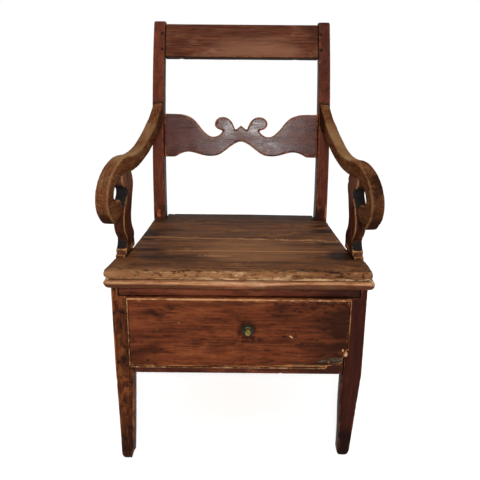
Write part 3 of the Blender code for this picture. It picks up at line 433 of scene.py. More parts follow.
    # Fine relief
    height = calc(tree, "MULTIPLY_ADD", fibres, 0.5, calc(tree, "MULTIPLY", rings, 0.25))
    height = calc(tree, "SUBTRACT", height, pores)
    if speckle:
        grains = grain_noise(tree, place, (330.0, 420.0, 420.0), 2.0, 0.5)
        height = calc(tree, "ADD", height, calc(tree, "MULTIPLY", grains, speckle))
    bump = add(tree, "Bump", {"Strength": relief, "Distance": 0.0006, "Height": height})
    tree.links.new(bump.outputs[0], shader.inputs["Normal"])
    return material


def old_metal(name, bright, dull, metallic, low_rough, high_rough, scale=160.0):
    """Tarnished metal: bright where it is rubbed, dull in patches and specks."""
    material = bpy.data.materials.new(name)
    material.use_nodes = True
    tree = material.node_tree
    shader = tree.nodes["Principled BSDF"]
    place = add(tree, "TexCoord").outputs["Object"]
    clouds = grain_noise(tree, place, (scale,) * 3, 5.0, 0.6, 0.4)
    specks = grain_noise(tree, place, (scale * 8,) * 3, 2.0, 0.5)
    colour = mix(tree, band(tree, clouds, 0.38, 0.62), rgb(*bright), rgb(*dull))
    colour = mix(tree, band(tree, specks, 0.58, 0.7, 0.0, 0.6), colour, darker(dull, 0.4))
    tree.links.new(colour, shader.inputs["Base Color"])
    tree.links.new(band(tree, clouds, 0.3, 0.7, low_rough, high_rough), shader.inputs["Roughness"])
    shader.inputs["Metallic"].default_value = metallic
    bump = add(tree, "Bump", {"Strength": 0.25, "Distance": 0.0003, "Height": clouds})
    tree.links.new(bump.outputs[0], shader.inputs["Normal"])
    return material


# The four colours of each wood are its dark, middle, light and worn one
POST_WOOD = wood("post_wood", (72, 31, 20), (104, 51, 33), (118, 61, 41), (158, 88, 50),
                 blotch=0.6, streak=0.4, scratch=0.35)
CREST_WOOD = wood("crest_wood", (68, 32, 19), (97, 50, 31), (130, 88, 65), (150, 108, 66),
                  speckle=0.5, blotch=0.7, streak=0.5, scratch=0.45, level=0.04)
SPLAT_WOOD = wood("splat_wood", (58, 26, 19), (83, 39, 29), (99, 53, 40), (160, 96, 50),
                  speckle=1.4, rough=0.22, relief=0.12, blotch=0.6, streak=0.5, scratch=0.3, level=0.145)
ARM_WOOD = wood("arm_wood", (74, 37, 22), (112, 67, 41), (150, 117, 80), (162, 122, 78),
                streak=0.5, blotch=0.5, fibre=0.8, fray=0.06, specks=0.6, scratch=0.3, level=0.0)
SUPPORT_WOOD = wood("support_wood", (48, 24, 16), (94, 50, 33), (122, 82, 64), (172, 120, 76),
                    blotch=0.6, streak=0.7, level=0.0, fray=0.08, grey=(38, 35, 35))
SEAT_WOOD = wood("seat_wood", (54, 30, 18), (108, 65, 37), (148, 103, 67), (212, 172, 128),
                 streak=0.6, blotch=0.8, grey=(54, 46, 44), level=0.03, rough=0.6, specks=0.8, scratch=0.4)
MOULD_WOOD = wood("moulding_wood", (126, 66, 38), (194, 140, 97), (216, 174, 134), (228, 190, 148),
                  specks=1.0, streak=0.7, scratch=0.45)
DRAWER_WOOD = wood("drawer_wood", (64, 28, 15), (108, 53, 29), (134, 73, 42), (178, 116, 68), specks=0.9,
                   streak=0.36, blotch=0.8, fibre=1.3, scratch=0.35, level=0.04, grey=(84, 76, 60))
RAIL_WOOD = wood("rail_wood", (66, 30, 20), (110, 56, 37), (138, 78, 50), (160, 98, 58),
                 specks=0.7, streak=0.6)
LEFT_LEG_WOOD = wood("left_leg_wood", (56, 27, 14), (75, 36, 19), (130, 73, 38), (158, 90, 46),
                     blotch=1.0, streak=0.5, specks=1.0, scratch=0.5, level=0.04, grey=(40, 37, 36))
RIGHT_LEG_WOOD = wood("right_leg_wood", (42, 19, 15), (62, 27, 19), (76, 37, 25), (112, 58, 34),
                      blotch=0.6, streak=0.6, level=0.03, grey=(36, 33, 33))
PANEL_WOOD = wood("panel_wood", (52, 26, 17), (90, 47, 30), (114, 66, 42), (150, 94, 56),
                  specks=0.6, streak=0.7)
BEAD_WOOD = wood("bead_wood", (100, 52, 30), (162, 101, 60), (196, 144, 98), (208, 162, 116),
                 fibre=0.5, streak=0.5)
PALE_COLOURS = ((140, 100, 62), (180, 142, 96), (204, 170, 124), (214, 180, 134))
INNER_WOOD = wood("inner_wood", *PALE_COLOURS, rough=0.65)
INNER_CAD = wood("inner_wood_rails", *PALE_COLOURS, rough=0.65, cad_axis="y")
PEG_WOOD = wood("peg_wood", (30, 15, 11), (48, 25, 18), (66, 36, 25), (90, 50, 30), cad_axis="y")
RAW_WOOD = wood("raw_wood", (150, 104, 66), (190, 148, 104), (216, 178, 132), (228, 196, 156), rough=0.75)
BRASS = old_metal("old_brass", (132, 118, 54), (66, 58, 26), 0.85, 0.28, 0.5)
ROSE_METAL = old_metal("dark_rose", (36, 33, 26), (20, 18, 15), 0.7, 0.45, 0.65)
IRON = old_metal("dark_iron", (70, 66, 62), (38, 34, 32), 0.8, 0.45, 0.65)


# Where each piece is darker, lighter, bare or chipped. P holds the piece's points, n their normals and edges
# the pairs of points that an edge joins.

def facing_in(p, n):
    """1 where the surface faces the other half of the chair."""
    return step_up(-n[:, 0] * np.sign(p[:, 0]), 0.6, 0.9)


def facing_aside(n):
    """1 where the surface faces left or right."""
    return step_up(np.abs(n[:, 0]), 0.6, 0.85)


def crest_tone(p, n):
    """A painted sheen in the middle, with a pale fleck left of it, painted light and wear along the top,
    painted shade below, and dark at the right end.
    """
    # Painted sheen in the middle
    middle = spot(p, (0.04, 0.25, 0.85), (0.21, 0.2, 0.07))
    middle *= 0.65 + 0.35 * step_up(fractal(p, (8, 14, 110), 53), -0.6, 0.4)
    fleck = spot(p, (-0.085, 0.25, 0.852), (0.035, 0.2, 0.012))
    fleck *= step_up(fractal(p, (60, 60, 160), 4), 0.0, 0.3)
    # Painted light with wear on faces that look up, painted shade on those that look down
    top = step_up(n[:, 2], 0.45, 0.85)
    under = step_up(-n[:, 2], 0.4, 0.8)
    right = step_up(p[:, 0], 0.12, 0.18)
    smears = fractal(p, (14, 14, 40), 3)
    return middle + 0.5 * fleck + 0.45 * top + 0.2 * smears - 1.6 * under - 0.35 * right - 0.25


def crest_shape(p, n, edges):
    """Between the posts the crest is a little taller than the solid."""
    p = p.copy()
    visible = np.abs(p[:, 0]) < BETWEEN_POSTS
    rise = 0.0008 * step_up(p[:, 2], 0.865, 0.91)
    drop = 0.0022 * (1 - step_up(p[:, 2], 0.84, 0.862))
    p[:, 2] += (rise - drop) * visible
    return p


def post_inner_shade(p, n):
    """Painted shade on the side of a post that faces the other one."""
    return facing_in(p, n) * (p[:, 2] > ABOVE_SEAT)


def post_tone(p, n):
    """Painted shade inside; dark just above the seat, at the top, at the arm's joint and on the right post's
    upper part.
    """
    z = p[:, 2]
    foot = (1 - step_up(z, 0.445, 0.505)) * step_up(fractal(p, (70, 70, 45), 6), -0.4, 0.15)
    top = step_up(z, 0.916, 0.924)
    joint = 1 - step_up(np.abs(z - 0.727), 0.0, 0.008)
    upper = (p[:, 0] > 0) * step_up(z, 0.70, 0.80)
    smears = fractal(p, (60, 60, 20), 5)
    dark = 0.3 * post_inner_shade(p, n) + 0.95 * foot + 0.7 * top + 0.5 * joint + 0.5 * upper
    return 0.3 * smears - dark


def post_rub(p, n):
    """Scuffs just above the seat."""
    z = p[:, 2]
    scuff = (1 - step_up(z, 0.455, 0.485)) * step_up(fractal(p, (90, 90, 40), 8), 0.02, 0.3)
    return 0.75 * scuff * (z > ABOVE_SEAT)


def splat_tone(p, n):
    """Mottled, and a little darker on the left."""
    return 0.3 * fractal(p, (25, 25, 50), 31) - 0.15 * step_up(-p[:, 0], 0.05, 0.15)


def splat_shape(p, n, edges):
    """Between the posts the scrolled rail's lower edge is a little lower than the solid's."""
    p = p.copy()
    p[:, 2] -= 0.003 * (1 - step_up(p[:, 2], 0.632, 0.656)) * (np.abs(p[:, 0]) < BETWEEN_POSTS)
    return p


def arm_tone(p, n):
    """Painted shade at the post, on faces that look down and on the right arm's front; dark low on the volutes,
    on front faces, a little on the sides and in a blotch on the right; painted light on upward faces towards
    the back and a painted sheen in the dip.
    """
    x, y, z = p.T
    right = x > 0
    side = facing_aside(n)
    front = step_up(-n[:, 1], 0.35, 0.85) * (1 - side)
    # Painted shade on faces that look down
    under = step_up(-n[:, 2], 0.35, 0.8)
    low = 1 - step_up(z, 0.518, 0.538)
    # Painted shade at the post, where the arm meets it
    root_shade = step_up(y, 0.085, 0.140) * (0.45 + 0.4 * right * step_up(np.abs(n[:, 0]), 0.5, 0.85))
    blotch = right * spot(p, (0.268, -0.235, 0.596), (0.028, 0.07, 0.03))
    blotch *= step_up(fractal(p, 120, 10), -0.45, 0.2)
    shade = right * (1 - step_up(y, -0.16, -0.06)) * (1 - 0.4 * side)
    # Painted light on faces that look up, and a painted sheen in the dip
    top = step_up(n[:, 2], 0.3, 0.7) * step_up(y, -0.12, -0.02)
    dip_sheen = spot(p, (0, -0.12, 0.63), (1, 0.09, 0.05)) * step_up(n[:, 2], 0.4, 0.8)
    smear = fractal(p, (40, 14, 40), 9)
    light = 0.35 * smear + np.where(right, 0.5, 0.4) * top + 0.8 * dip_sheen
    dark = 0.05 * side + 0.22 * front + 0.6 * under + 0.5 * low + root_shade + 1.3 * blotch + 0.45 * shade
    return light - dark


def arm_rub(p, n):
    """Rubbed flecks on the volutes. The edges are less worn on the right and towards the back."""
    fleck = spot(p, (-0.262, -0.255, 0.594), (0.012, 0.03, 0.006))
    fleck += spot(p, (0.262, -0.255, 0.575), (0.01, 0.03, 0.02))
    fade = 0.04 + 0.08 * (p[:, 0] > 0) + 0.12 * step_up(p[:, 1], -0.17, -0.08)
    return 0.4 * fleck * step_up(fractal(p, 160, 11), -0.2, 0.2) - fade


def arm_shape(p, n, edges):
    """Away from the post the arm is fuller and lower than the solid. The left volute has a small hole."""
    free = 1 - step_up(p[:, 1], 0.10, 0.125)
    p = p + 0.0012 * n * free[:, None]
    right = p[:, 0] > 0
    under = step_up(-n[:, 2], 0.3, 0.8) * step_up(p[:, 1], -0.17, -0.1)
    drop = (0.003 + 0.0035 * step_up(p[:, 2], 0.53, 0.6)) * (1 - step_up(p[:, 1], -0.05, 0.11))
    p[:, 2] -= np.where(right, drop, 0.0032 * under * free)
    hole = spot(p, (-0.257, -0.234, 0.616), (0.0035, 0.0035, 0.006))
    return p - 0.002 * n * hole[:, None]


def support_hook(p):
    """1 at the small hook under the arm."""
    return spot(p, (0, -0.17, 0.592), (1, 0.03, 0.014))


def support_tone(p, n):
    """Painted shade in front and a painted sheen high on the sides, which are a touch darker elsewhere; paler
    at the block at the foot and at the hook.
    """
    z = p[:, 2]
    side = facing_aside(n)
    block = (1 - step_up(z, *BLOCK_TOP)) * (z > ABOVE_SEAT)
    hook = support_hook(p)
    face = (1 - side) * (1 - block) * (1 - hook)
    smear = fractal(p, (60, 60, 20), 12)
    # Painted sheen high on the sides; painted shade on the front face
    light = 0.35 * smear + 0.75 * side * step_up(z, 0.52, 0.58) + 0.3 * block + 0.45 * hook
    return light - 0.35 * face - 0.05 * side


def support_front_shade(p, n):
    """Painted shade in front, nearly black above the block and below the hook."""
    z = p[:, 2]
    above_block = 1 - step_up(z, 0.454, 0.474)
    below_hook = step_up(z, 0.525, 0.545)
    face = (1 - facing_aside(n)) * step_up(z, *BLOCK_TOP) * (1 - support_hook(p))
    return face * np.maximum(0.25, np.maximum(above_block, below_hook))


def support_rub(p, n):
    """Pale edges of the block at the foot."""
    x, z = np.abs(p[:, 0]), p[:, 2]
    block = (1 - step_up(z, 0.4475, 0.4495)) * (z > 0.432)
    from_ends = np.minimum(np.abs(z - 0.4465), np.abs(z - 0.434))
    from_sides = np.minimum(np.abs(x - 0.2325), np.abs(x - 0.2572))
    rim = np.maximum(1 - step_up(from_ends, 0.0006, 0.0022), 1 - step_up(from_sides, 0.0008, 0.0026))
    return 0.5 * block * rim


def support_shape(p, n, edges):
    """Above the seat the support is a little thicker inwards than the tail below."""
    p = p.copy()
    inward = -np.sign(p[:, 0])
    outside, thickness = 0.2608, 0.0246
    share = np.clip((outside - np.abs(p[:, 0])) / thickness, 0, 1)
    above = step_up(p[:, 2], 0.4335, 0.4365)
    p[:, 0] += inward * (above * (0.0015 + 0.0032 * share) + 0.0018 * step_up(p[:, 2], 0.452, 0.475))
    p[:, 0] -= inward * 0.0042 * (1 - share) * step_up(p[:, 2], 0.53, 0.545)
    return p


def seat_spot(p, x, y, half_width, half_depth):
    return spot(p, (x, y, 0.43), (half_width, half_depth, 0.1))


def rear_joint(p, place, low, high):
    """1 along the skew joint of the rear board."""
    return 1 - step_up(np.abs(p[:, 1] - place + JOINT_SKEW * p[:, 0]), low, high)


def seat_tone(p, n):
    """Dark by the supports and posts and in stains, with painted shade at the rear, on the ends, underneath and
    under the round edge; pale along the joints, and along the front edge with wear and painted light.
    """
    x, y, z = p.T
    corner = seat_spot(p, -0.20, -0.135, 0.055, 0.04) + seat_spot(p, 0.22, -0.15, 0.05, 0.05)
    corner += seat_spot(p, -0.215, -0.02, 0.05, 0.04) + seat_spot(p, 0.21, -0.06, 0.05, 0.04)
    corner += 0.7 * seat_spot(p, -0.19, 0.03, 0.08, 0.06) + seat_spot(p, 0.2, 0.05, 0.05, 0.06)
    corner *= step_up(fractal(p, (14, 60, 20), 13), -0.3, 0.2)
    stain = seat_spot(p, -0.145, -0.175, 0.11, 0.05) + 0.4 * seat_spot(p, 0.18, -0.19, 0.08, 0.035)
    centre = seat_spot(p, 0.03, -0.13, 0.20, 0.11)
    scrape = spot(p, (-0.055, -0.158, 0.432), (0.05, 0.007, 0.05))
    scrape *= step_up(fractal(p, (40, 200, 40), 22), -0.45, 0.0)
    streak = fractal(p, (5, 55, 20), 14)
    on_top = z > 0.42
    dots = step_up(fractal(p, (90, 160, 20), 52), 0.25, 0.4)
    joints = rear_joint(p, -0.0305, 0.002, 0.010) * on_top * (0.75 - dots)
    joints += 0.6 * (1 - step_up(np.abs(y - FRONT_JOINT), 0.001, 0.0035)) * on_top
    # Paler along the front edge: wear and painted light
    nose = (1 - step_up(y, -0.258, -0.221)) * (0.85 + 0.45 * fractal(p, (24, 180, 180), 55))
    # Painted shade in the gap under the round edge
    nose_gap_shade = nose * (1 - step_up(z, 0.4125, 0.4142))
    grit = step_up(fractal(p, (170, 250, 250), 45), 0.2, 0.36) * (1 - step_up(y, -0.25, -0.215))
    grit *= 1 + 0.6 * step_up(x, 0.02, 0.15)
    # Painted shade at the rear, on the board ends and on faces that look down
    rear = step_up(y, 0.04, 0.17)
    sides = step_up(np.abs(n[:, 0]), 0.6, 0.9)
    under = step_up(-n[:, 2], 0.75, 0.95)
    light = 0.4675 * centre + 0.35 * streak + 1.3 * scrape + joints
    light += (0.85 - 0.5 * step_up(x, 0.02, 0.16)) * nose
    dark = 0.45 * rear + 1.1 * corner + 0.6 * stain + 0.5 * sides + under + 0.8 * grit + 1.6 * nose_gap_shade
    return light - dark


def seat_rear_shade(p, n):
    """Painted shade in dark grey towards the rear."""
    return 0.3 * step_up(p[:, 1], 0.04, 0.12) + 0.5 * step_up(p[:, 1], 0.13, 0.185)


def seat_rub_and_light(p, n):
    """Pale along the rear board's joint and the front edge, where it is worn, and painted light on that edge's
    lower lip.
    """
    x, y, z = p.T
    nose = step_up(-n[:, 1], 0.3, 0.8) * (y < -0.2) * (z > 0.415)
    nose *= (0.24 + 0.5 * fractal(p, (30, 110, 110), 24)) * (0.4 + 0.6 * step_up(x, -0.14, 0.0))
    nose *= 1 - 0.6 * step_up(x, 0.06, 0.16)
    strip = (1 - step_up(y, -0.250, -0.228)) * (0.55 + 0.45 * step_up(x, -0.12, 0.02))
    strip *= step_up(fractal(p, (22, 120, 40), 21), -0.45, 0.25)
    joint = rear_joint(p, -0.0285, 0.002, 0.0095) * (z > 0.42)
    joint *= step_up(fractal(p, (30, 160, 20), 23), -0.7, 0.1) * (0.55 + 0.45 * step_up(x, -0.05, 0.1))
    # Painted light on the lower lip of the round edge
    lip = (1 - step_up(z, 0.4150, 0.4255)) * step_up(z, 0.4122, 0.4136) * (y < -0.245)
    lip *= 0.45 + 0.55 * step_up(x, -0.14, -0.02) - 0.4 * step_up(x, 0.18, 0.24)
    lip *= 0.4 + 0.6 * step_up(fractal(p, (55, 160, 160), 54), -0.35, 0.3)
    return np.max([nose, 0.2 * strip, 0.33 * joint, 0.66 * lip], axis=0)


def front_board_shape(p, n, edges):
    """A full round nose along the front edge, most worn at the corners."""
    p = p.copy()
    u = np.minimum((p[:, 1] - SEAT_FRONT - NOSE_RADIUS) / NOSE_RADIUS, 0)
    v = (p[:, 2] - NOSE_HEIGHT) / NOSE_RADIUS
    round_off = np.maximum(np.abs(u), np.abs(v)) / np.maximum(np.hypot(u, v), 1e-6)
    nose = u < 0
    p[nose, 1] = SEAT_FRONT + NOSE_RADIUS * (1 + u * round_off)[nose]
    p[nose, 2] = NOSE_HEIGHT + NOSE_RADIUS * (v * round_off)[nose]
    near = 1 - step_up(p[:, 1], -0.250, -0.238)
    ends = step_up(np.abs(p[:, 0]), 0.235, 0.262)
    p = soften(p, edges, near * ends, 12)
    p[:, 1] -= 0.0012 * near
    low = 1 - step_up(p[:, 2], 0.4125, 0.419)
    p[:, 0] -= np.sign(p[:, 0]) * 0.005 * ends * low + 0.0024 * (1 - step_up(p[:, 1], -0.25, -0.2))
    return p


def rear_board_shape(p, n, edges):
    """The rear board has cupped: its rear edge stands a little up."""
    p = p.copy()
    p[:, 2] += 0.0042 * step_up(p[:, 1], 0.02, 0.175) * (1 - 0.35 * step_up(p[:, 0], 0.0, 0.2))
    return p


def moulding_tone(p, n):
    """Pale in the middle, red on the right, dark below and at the right end, with painted shade under the seat.
    """
    x, z = p[:, 0], p[:, 2]
    patch = fractal(p, (16, 60, 60), 15)
    pale = spot(p, (0.0, -0.25, 0.409), (0.13, 0.1, 0.012))
    red = step_up(x, 0.04, 0.16) * (1 - step_up(x, 0.255, 0.262)) * (1 - step_up(z, 0.4045, 0.4070))
    low = (1 - step_up(z, 0.3990, 0.4065)) * (0.6 + 0.4 * step_up(patch, -0.4, 0.1))
    low *= 1 - 0.55 * spot(p, (-0.01, -0.25, 0.405), (0.16, 0.1, 0.1))
    # Painted shade along the top, under the seat's round edge, and dark at the right end
    crack = 0.9 * step_up(z, 0.4108, 0.4122) + 0.5 * step_up(x, 0.259, 0.262)
    return 0.6 * patch + 0.45 * pale - 0.25 - 0.6 * red - 1.1 * low - crack


def moulding_shape(p, n, edges):
    """A little deeper than the solid, with rounded ends."""
    ends = step_up(np.abs(p[:, 0]), 0.254, 0.266)
    p = soften(p, edges, ends, 6)
    p[:, 0] *= 0.9965
    p[:, 2] -= 0.0055 * (1 - step_up(p[:, 2], 0.3985, 0.409))
    return p


def broken_flake(p):
    """The flaked-off face at the lower right corner, lowest towards the left."""
    top = 0.2268 + 0.0035 * step_up(p[:, 0], 0.07, 0.12) + 0.0157 * step_up(p[:, 0], 0.140, 0.190)
    top += 0.0013 * fractal(p, (90, 150, 150), 28)
    face = (p[:, 1] < -0.2445) & (p[:, 0] > 0.06)
    return face * (1 - step_up(p[:, 2], top - 0.0012, top + 0.0012)) * step_up(p[:, 2], 0.2225, 0.2245)


def corner_crack(p):
    """The crack across the upper right corner."""
    return stroke(p, (0.2091, 0.3641), (0.2218, 0.3514), 0.0022)


def drawer_tone(p, n):
    """Dark towards the right, round the knob, in two bowed scratches below it and in stains on the left."""
    left = spot(p, (-0.19, -0.25, 0.25), (0.06, 0.1, 0.05))
    top = spot(p, (-0.15, -0.25, 0.345), (0.07, 0.1, 0.03))
    top *= step_up(fractal(p, (50, 40, 90), 25), -0.2, 0.25)
    halo = spot(p, (0.018, -0.25, 0.309), (0.027, 0.1, 0.024)) * (0.75 + 0.6 * fractal(p, 130, 26))
    right = step_up(p[:, 0], 0.0, 0.23)
    middle = 0.0187
    bows = sum(stroke(p, (middle, z), (middle + reach, z + 0.0006), 0.0027)
               for z in (0.2884, 0.2812) for reach in (-0.012, 0.012))
    fleck = stroke(p, (0.0905, 0.2935), (0.0955, 0.2925), 0.003)
    crack = corner_crack(p) + stroke(p, (0.190, 0.3655), (0.2091, 0.3641), 0.0016)
    speck = step_up(fractal(p, (70, 60, 130), 27), 0.30, 0.46)
    mottle = fractal(p, (24, 40, 70), 16)
    dark = 0.4 * left + 0.6 * top + 1.15 * halo + 0.85 * right + 1.1 * bows + fleck + crack
    return 0.6 * mottle - dark - 0.75 * broken_flake(p) - 0.4 * speck


def drawer_grey(p, n):
    """Weathered layers in the flaked corner."""
    return broken_flake(p) * (0.45 + 0.9 * fractal(p, (40, 40, 330), 46))


def drawer_shape(p, n, edges):
    """The flaked corner, a dent, the crack and an uneven lower edge."""
    p = p.copy()
    p[:, 1] += 0.0022 * broken_flake(p)
    p[:, 1] += 0.0010 * spot(p, (0.1054, -0.252, 0.2923), (0.004, 0.02, 0.003))
    p[:, 1] += 0.0012 * corner_crack(p) * (p[:, 1] < -0.248)
    low = (1 - step_up(p[:, 2], 0.2205, 0.2245)) * (p[:, 1] < -0.2435)
    p[:, 2] += 0.0016 * low * fractal(p, (45, 1, 1), 29)
    return p


def drawer_raw(p, n):
    """A bare fleck, two small dents and the chip beside the splinter."""
    fleck = stroke(p, (0.1035, 0.2935), (0.1075, 0.2908), 0.0024)
    dents = spot(p, (-0.1201, -0.252, 0.3208), (0.004, 0.02, 0.0022))
    dents += spot(p, (0.0001, -0.252, 0.3416), (0.0022, 0.02, 0.0026))
    chip = spot(p, (0.2118, -0.252, 0.2640), (0.0036, 0.02, 0.0042))
    return (fleck + 0.52 * dents + chip) * (p[:, 1] < -0.246)


def drawer_rub(p, n):
    """A broken pale line above the lower edge, which runs on along the flaked corner."""
    x, y, z = p.T
    in_front = y < -0.247
    line = 1 - step_up(np.abs(z - 0.2245), 0.0006, 0.0026)
    line *= step_up(fractal(p, (38, 1, 1), 30), -0.15, 0.2) * in_front
    rim = 1 - step_up(np.abs(z - 0.2262 - 0.0010 * fractal(p, (60, 1, 1), 33)), 0.0006, 0.0022)
    rim *= (x > 0.07) * in_front
    fibres = broken_flake(p) * step_up(fractal(p, (30, 30, 420), 44), 0.0, 0.25)
    return np.max([0.55 * line, 0.56 * rim, 0.45 * fibres], axis=0)


def leg_inner_shade(p, n):
    """Painted shade on the side of a leg that faces the other one."""
    return facing_in(p, n) * (p[:, 2] < BELOW_RAIL)


def left_leg_tone(p, n):
    """Spotted gold and dark, darkest at the foot, with painted shade along the inner edge beside the drawer and
    on the side that faces the other leg.
    """
    z = p[:, 2]
    # Painted shade along the inner edge and in a stripe beside the drawer
    inner = step_up(p[:, 0], -0.234, -0.222) * step_up(z, 0.17, 0.24)
    drawer_shadow_stripe = spot(p, (-0.2265, -0.245, 0.17), (0.006, 0.03, 0.06))
    drawer_shadow_stripe += spot(p, (-0.229, -0.245, 0.08), (0.008, 0.03, 0.07))
    foot = 1 - step_up(z, 0.015, 0.10)
    spots = step_up(fractal(p, (150, 150, 80), 17), 0.15, 0.35)
    golden = step_up(fractal(p, (110, 110, 70), 50), 0.05, 0.35) * step_up(z, 0.07, 0.12)
    scores = step_up(fractal(p, (20, 20, 300), 34), 0.3, 0.5) * (1 - step_up(z, 0.10, 0.18))
    dark = 0.5 * inner + 0.55 * drawer_shadow_stripe + 0.75 * foot + 1.1 * spots + 0.55 * scores + 0.3 * leg_inner_shade(p, n)
    return 0.3 * fractal(p, 25, 18) + 0.6 * golden - dark


def left_leg_rub(p, n):
    """The upper part of the outer edge."""
    corner = (1 - step_up(p[:, 0] + 0.2563, 0.002, 0.005)) * step_up(-n[:, 1], -0.1, 0.4)
    corner *= step_up(p[:, 2], 0.12, 0.2)
    return 0.5 * corner * step_up(fractal(p, (1, 1, 30), 35), -0.4, 0.2)


def left_leg_shape(p, n, edges):
    """The foot has lost a chip at its inner corner and is rounded at its outer one."""
    p = p.copy()
    middle = -0.2355
    broken = -0.2322 + 0.0012 * fractal(p, 160, 36)
    chip = p[:, 2] + 0.0012 * fractal(p, 140, 36) < 0.0178 - 0.41 * (p[:, 1] + 0.25)
    p[:, 0] = np.where(chip, np.minimum(p[:, 0], broken + 0.12 * (p[:, 0] - broken)), p[:, 0])
    turn = np.clip(1 - p[:, 2] / 0.012, 0, 1)
    outer = np.maximum(middle - p[:, 0], 0)
    p[:, 0] += 0.42 * outer * (1 - np.sqrt(1 - turn**2)) + 0.003 * (1 - step_up(p[:, 2], 0.02, 0.26))
    return soften(p, edges, (1 - step_up(p[:, 2], 0.003, 0.009)) * (p[:, 0] < -0.236), 10)


def right_leg_tone(p, n):
    """Black at the foot, with a faint glow above it, and painted shade on the inner side."""
    foot = 1 - step_up(p[:, 2] + 0.012 * fractal(p, 40, 37), 0.02, 0.10)
    glow = step_up(fractal(p, (40, 40, 16), 38), 0.05, 0.4) * step_up(p[:, 2], 0.10, 0.2)
    return 0.25 * glow + 0.15 * fractal(p, 25, 19) - 1.4 * foot - 0.5 * leg_inner_shade(p, n)


def right_leg_shape(p, n, edges):
    """The foot is rounded, and the leg is a little fuller inwards below the rail."""
    p = p.copy()
    middle = 0.2275
    turn = np.clip(1 - p[:, 2] / 0.011, 0, 1)
    p[:, 0] -= 0.32 * (p[:, 0] - middle) * (1 - np.sqrt(1 - turn**2))
    inner = np.clip((middle + 0.012 - p[:, 0]) / 0.02, 0, 1)
    p[:, 0] -= 0.0034 * inner * step_up(p[:, 2], 0.04, 0.15) * (1 - step_up(p[:, 2], 0.202, 0.208))
    return soften(p, edges, 1 - step_up(p[:, 2], 0.003, 0.014), 24)


def panel_tone(p, n):
    return 0.5 * fractal(p, (16, 16, 40), 39) - 0.15


def top_rail_tone(p, n):
    """Dark on the right and at the left end, with a painted shadow under the moulding."""
    right = step_up(p[:, 0], 0.05, 0.2)
    left_end = 1 - step_up(p[:, 0], -0.225, -0.19)
    # Painted shadow under the moulding
    moulding_shadow = step_up(p[:, 2], 0.3865, 0.3925)
    return 0.5 * fractal(p, (18, 40, 50), 20) - 0.85 * right - 0.4 * left_end - 0.8 * moulding_shadow


def bottom_rail_tone(p, n):
    """Mottled, and dark on the right."""
    return panel_tone(p, n) - 0.2 - 0.6 * step_up(p[:, 0], 0.08, 0.19)


def bead_rub(p, n):
    """The lower part of the right bead has lost its pale edge."""
    return -0.6 * (p[:, 0] > BEAD_INSIDE) * (1 - step_up(p[:, 2], 0.284, 0.306))


def bead_tone(p, n):
    """The top bead is the palest, the bottom one is brown and broken."""
    x, z = p[:, 0], p[:, 2]
    bottom = (z < 0.2236) * (0.9 + 1.1 * fractal(p, (45, 1, 1), 43))
    sides = (np.abs(x) > BEAD_INSIDE) * (z < 0.3695) * (0.6 - 0.1 * (x > 0))
    return 0.25 * fractal(p, 30, 42) - bottom - sides + bead_rub(p, n)


def knob_shape(p, n, edges):
    """The ball sits close to its rose, on a shorter neck."""
    p = p.copy()
    ball, neck = -0.262, -0.2535
    y = p[:, 1]
    p[:, 1] = np.where(y < ball, y + 0.006, np.where(y < neck, neck + (y - neck) * 0.294, y))
    p[:, 2] += 0.0024 * (y < neck)
    return p


# The pieces

for side in ("left", "right"):
    left = side == "left"
    worn(f"{side}_front_leg", "chair", LEFT_LEG_WOOD if left else RIGHT_LEG_WOOD, grain="z",
         voxel=0.0018, nicks=14, keep=0.5, wear=0.5, tone=left_leg_tone if left else right_leg_tone,
         rub=left_leg_rub if left else None, grey=leg_inner_shade, shape=left_leg_shape if left else right_leg_shape)
    worn(f"{side}_back_post", "chair", POST_WOOD, grain="z", nicks=12, keep=0.4, wear=0.32,
         tone=post_tone, rub=post_rub, grey=post_inner_shade)
    worn(f"{side}_arm", "chair", ARM_WOOD, voxel=0.0017, rounding=8, keep=0.35, grain="y",
         nicks=5, wear=0.52, thin=True, tone=arm_tone, rub=arm_rub, shape=arm_shape)
    worn(f"{side}_arm_support", "chair", SUPPORT_WOOD, voxel=0.0013, rounding=2, keep=0.3,
         grain="z", nicks=8, wear=0.6, thin=True, tone=support_tone, rub=support_rub, grey=support_front_shade,
         shape=support_shape)
    worn(f"{side}_side_panel", "chair", PANEL_WOOD, voxel=0.0035, rounding=2, grain="y",
         nicks=4, tone=panel_tone)
    worn(f"{side}_moulding_return", "chair", MOULD_WOOD, voxel=0.0012, rounding=4, grain="y",
         nicks=3, grime_and_shade=0.4, reach=0.002, tone=moulding_tone)
worn("crest_rail", "chair", CREST_WOOD, voxel=0.002, rounding=2, nicks=8, wear=0.3,
     tone=crest_tone, shape=crest_shape)
worn("scrolled_back_rail", "chair", SPLAT_WOOD, voxel=0.0016, rounding=2, keep=0.4, nicks=8,
     wear=0.6, tone=splat_tone, shape=splat_shape)
worn("front_top_rail", "chair", RAIL_WOOD, nicks=4, wear=0.2, grime_and_shade=0.6, reach=0.0025,
     tone=top_rail_tone)
worn("front_bottom_rail", "chair", RAIL_WOOD, nicks=10, wear=0.3, grime_and_shade=0.6,
     tone=bottom_rail_tone)
worn("back_panel", "chair", PANEL_WOOD, voxel=0.0035, rounding=2, nicks=4, tone=panel_tone)
worn("seat_front_board", "chair", SEAT_WOOD, nicks=24, wear=0.15, reach=0.003, tone=seat_tone,
     rub=seat_rub_and_light, grey=seat_rear_shade, shape=front_board_shape)
worn("seat_middle_board", "chair", SEAT_WOOD, rounding=2, nicks=6, wear=0.1, grime_and_shade=0.6,
     reach=0.002, tone=seat_tone, rub=seat_rub_and_light)
worn("seat_rear_board", "chair", SEAT_WOOD, rounding=2, nicks=8, wear=0.1, grime_and_shade=0.6, reach=0.002,
     tone=seat_tone, rub=seat_rub_and_light, grey=seat_rear_shade, shape=rear_board_shape)
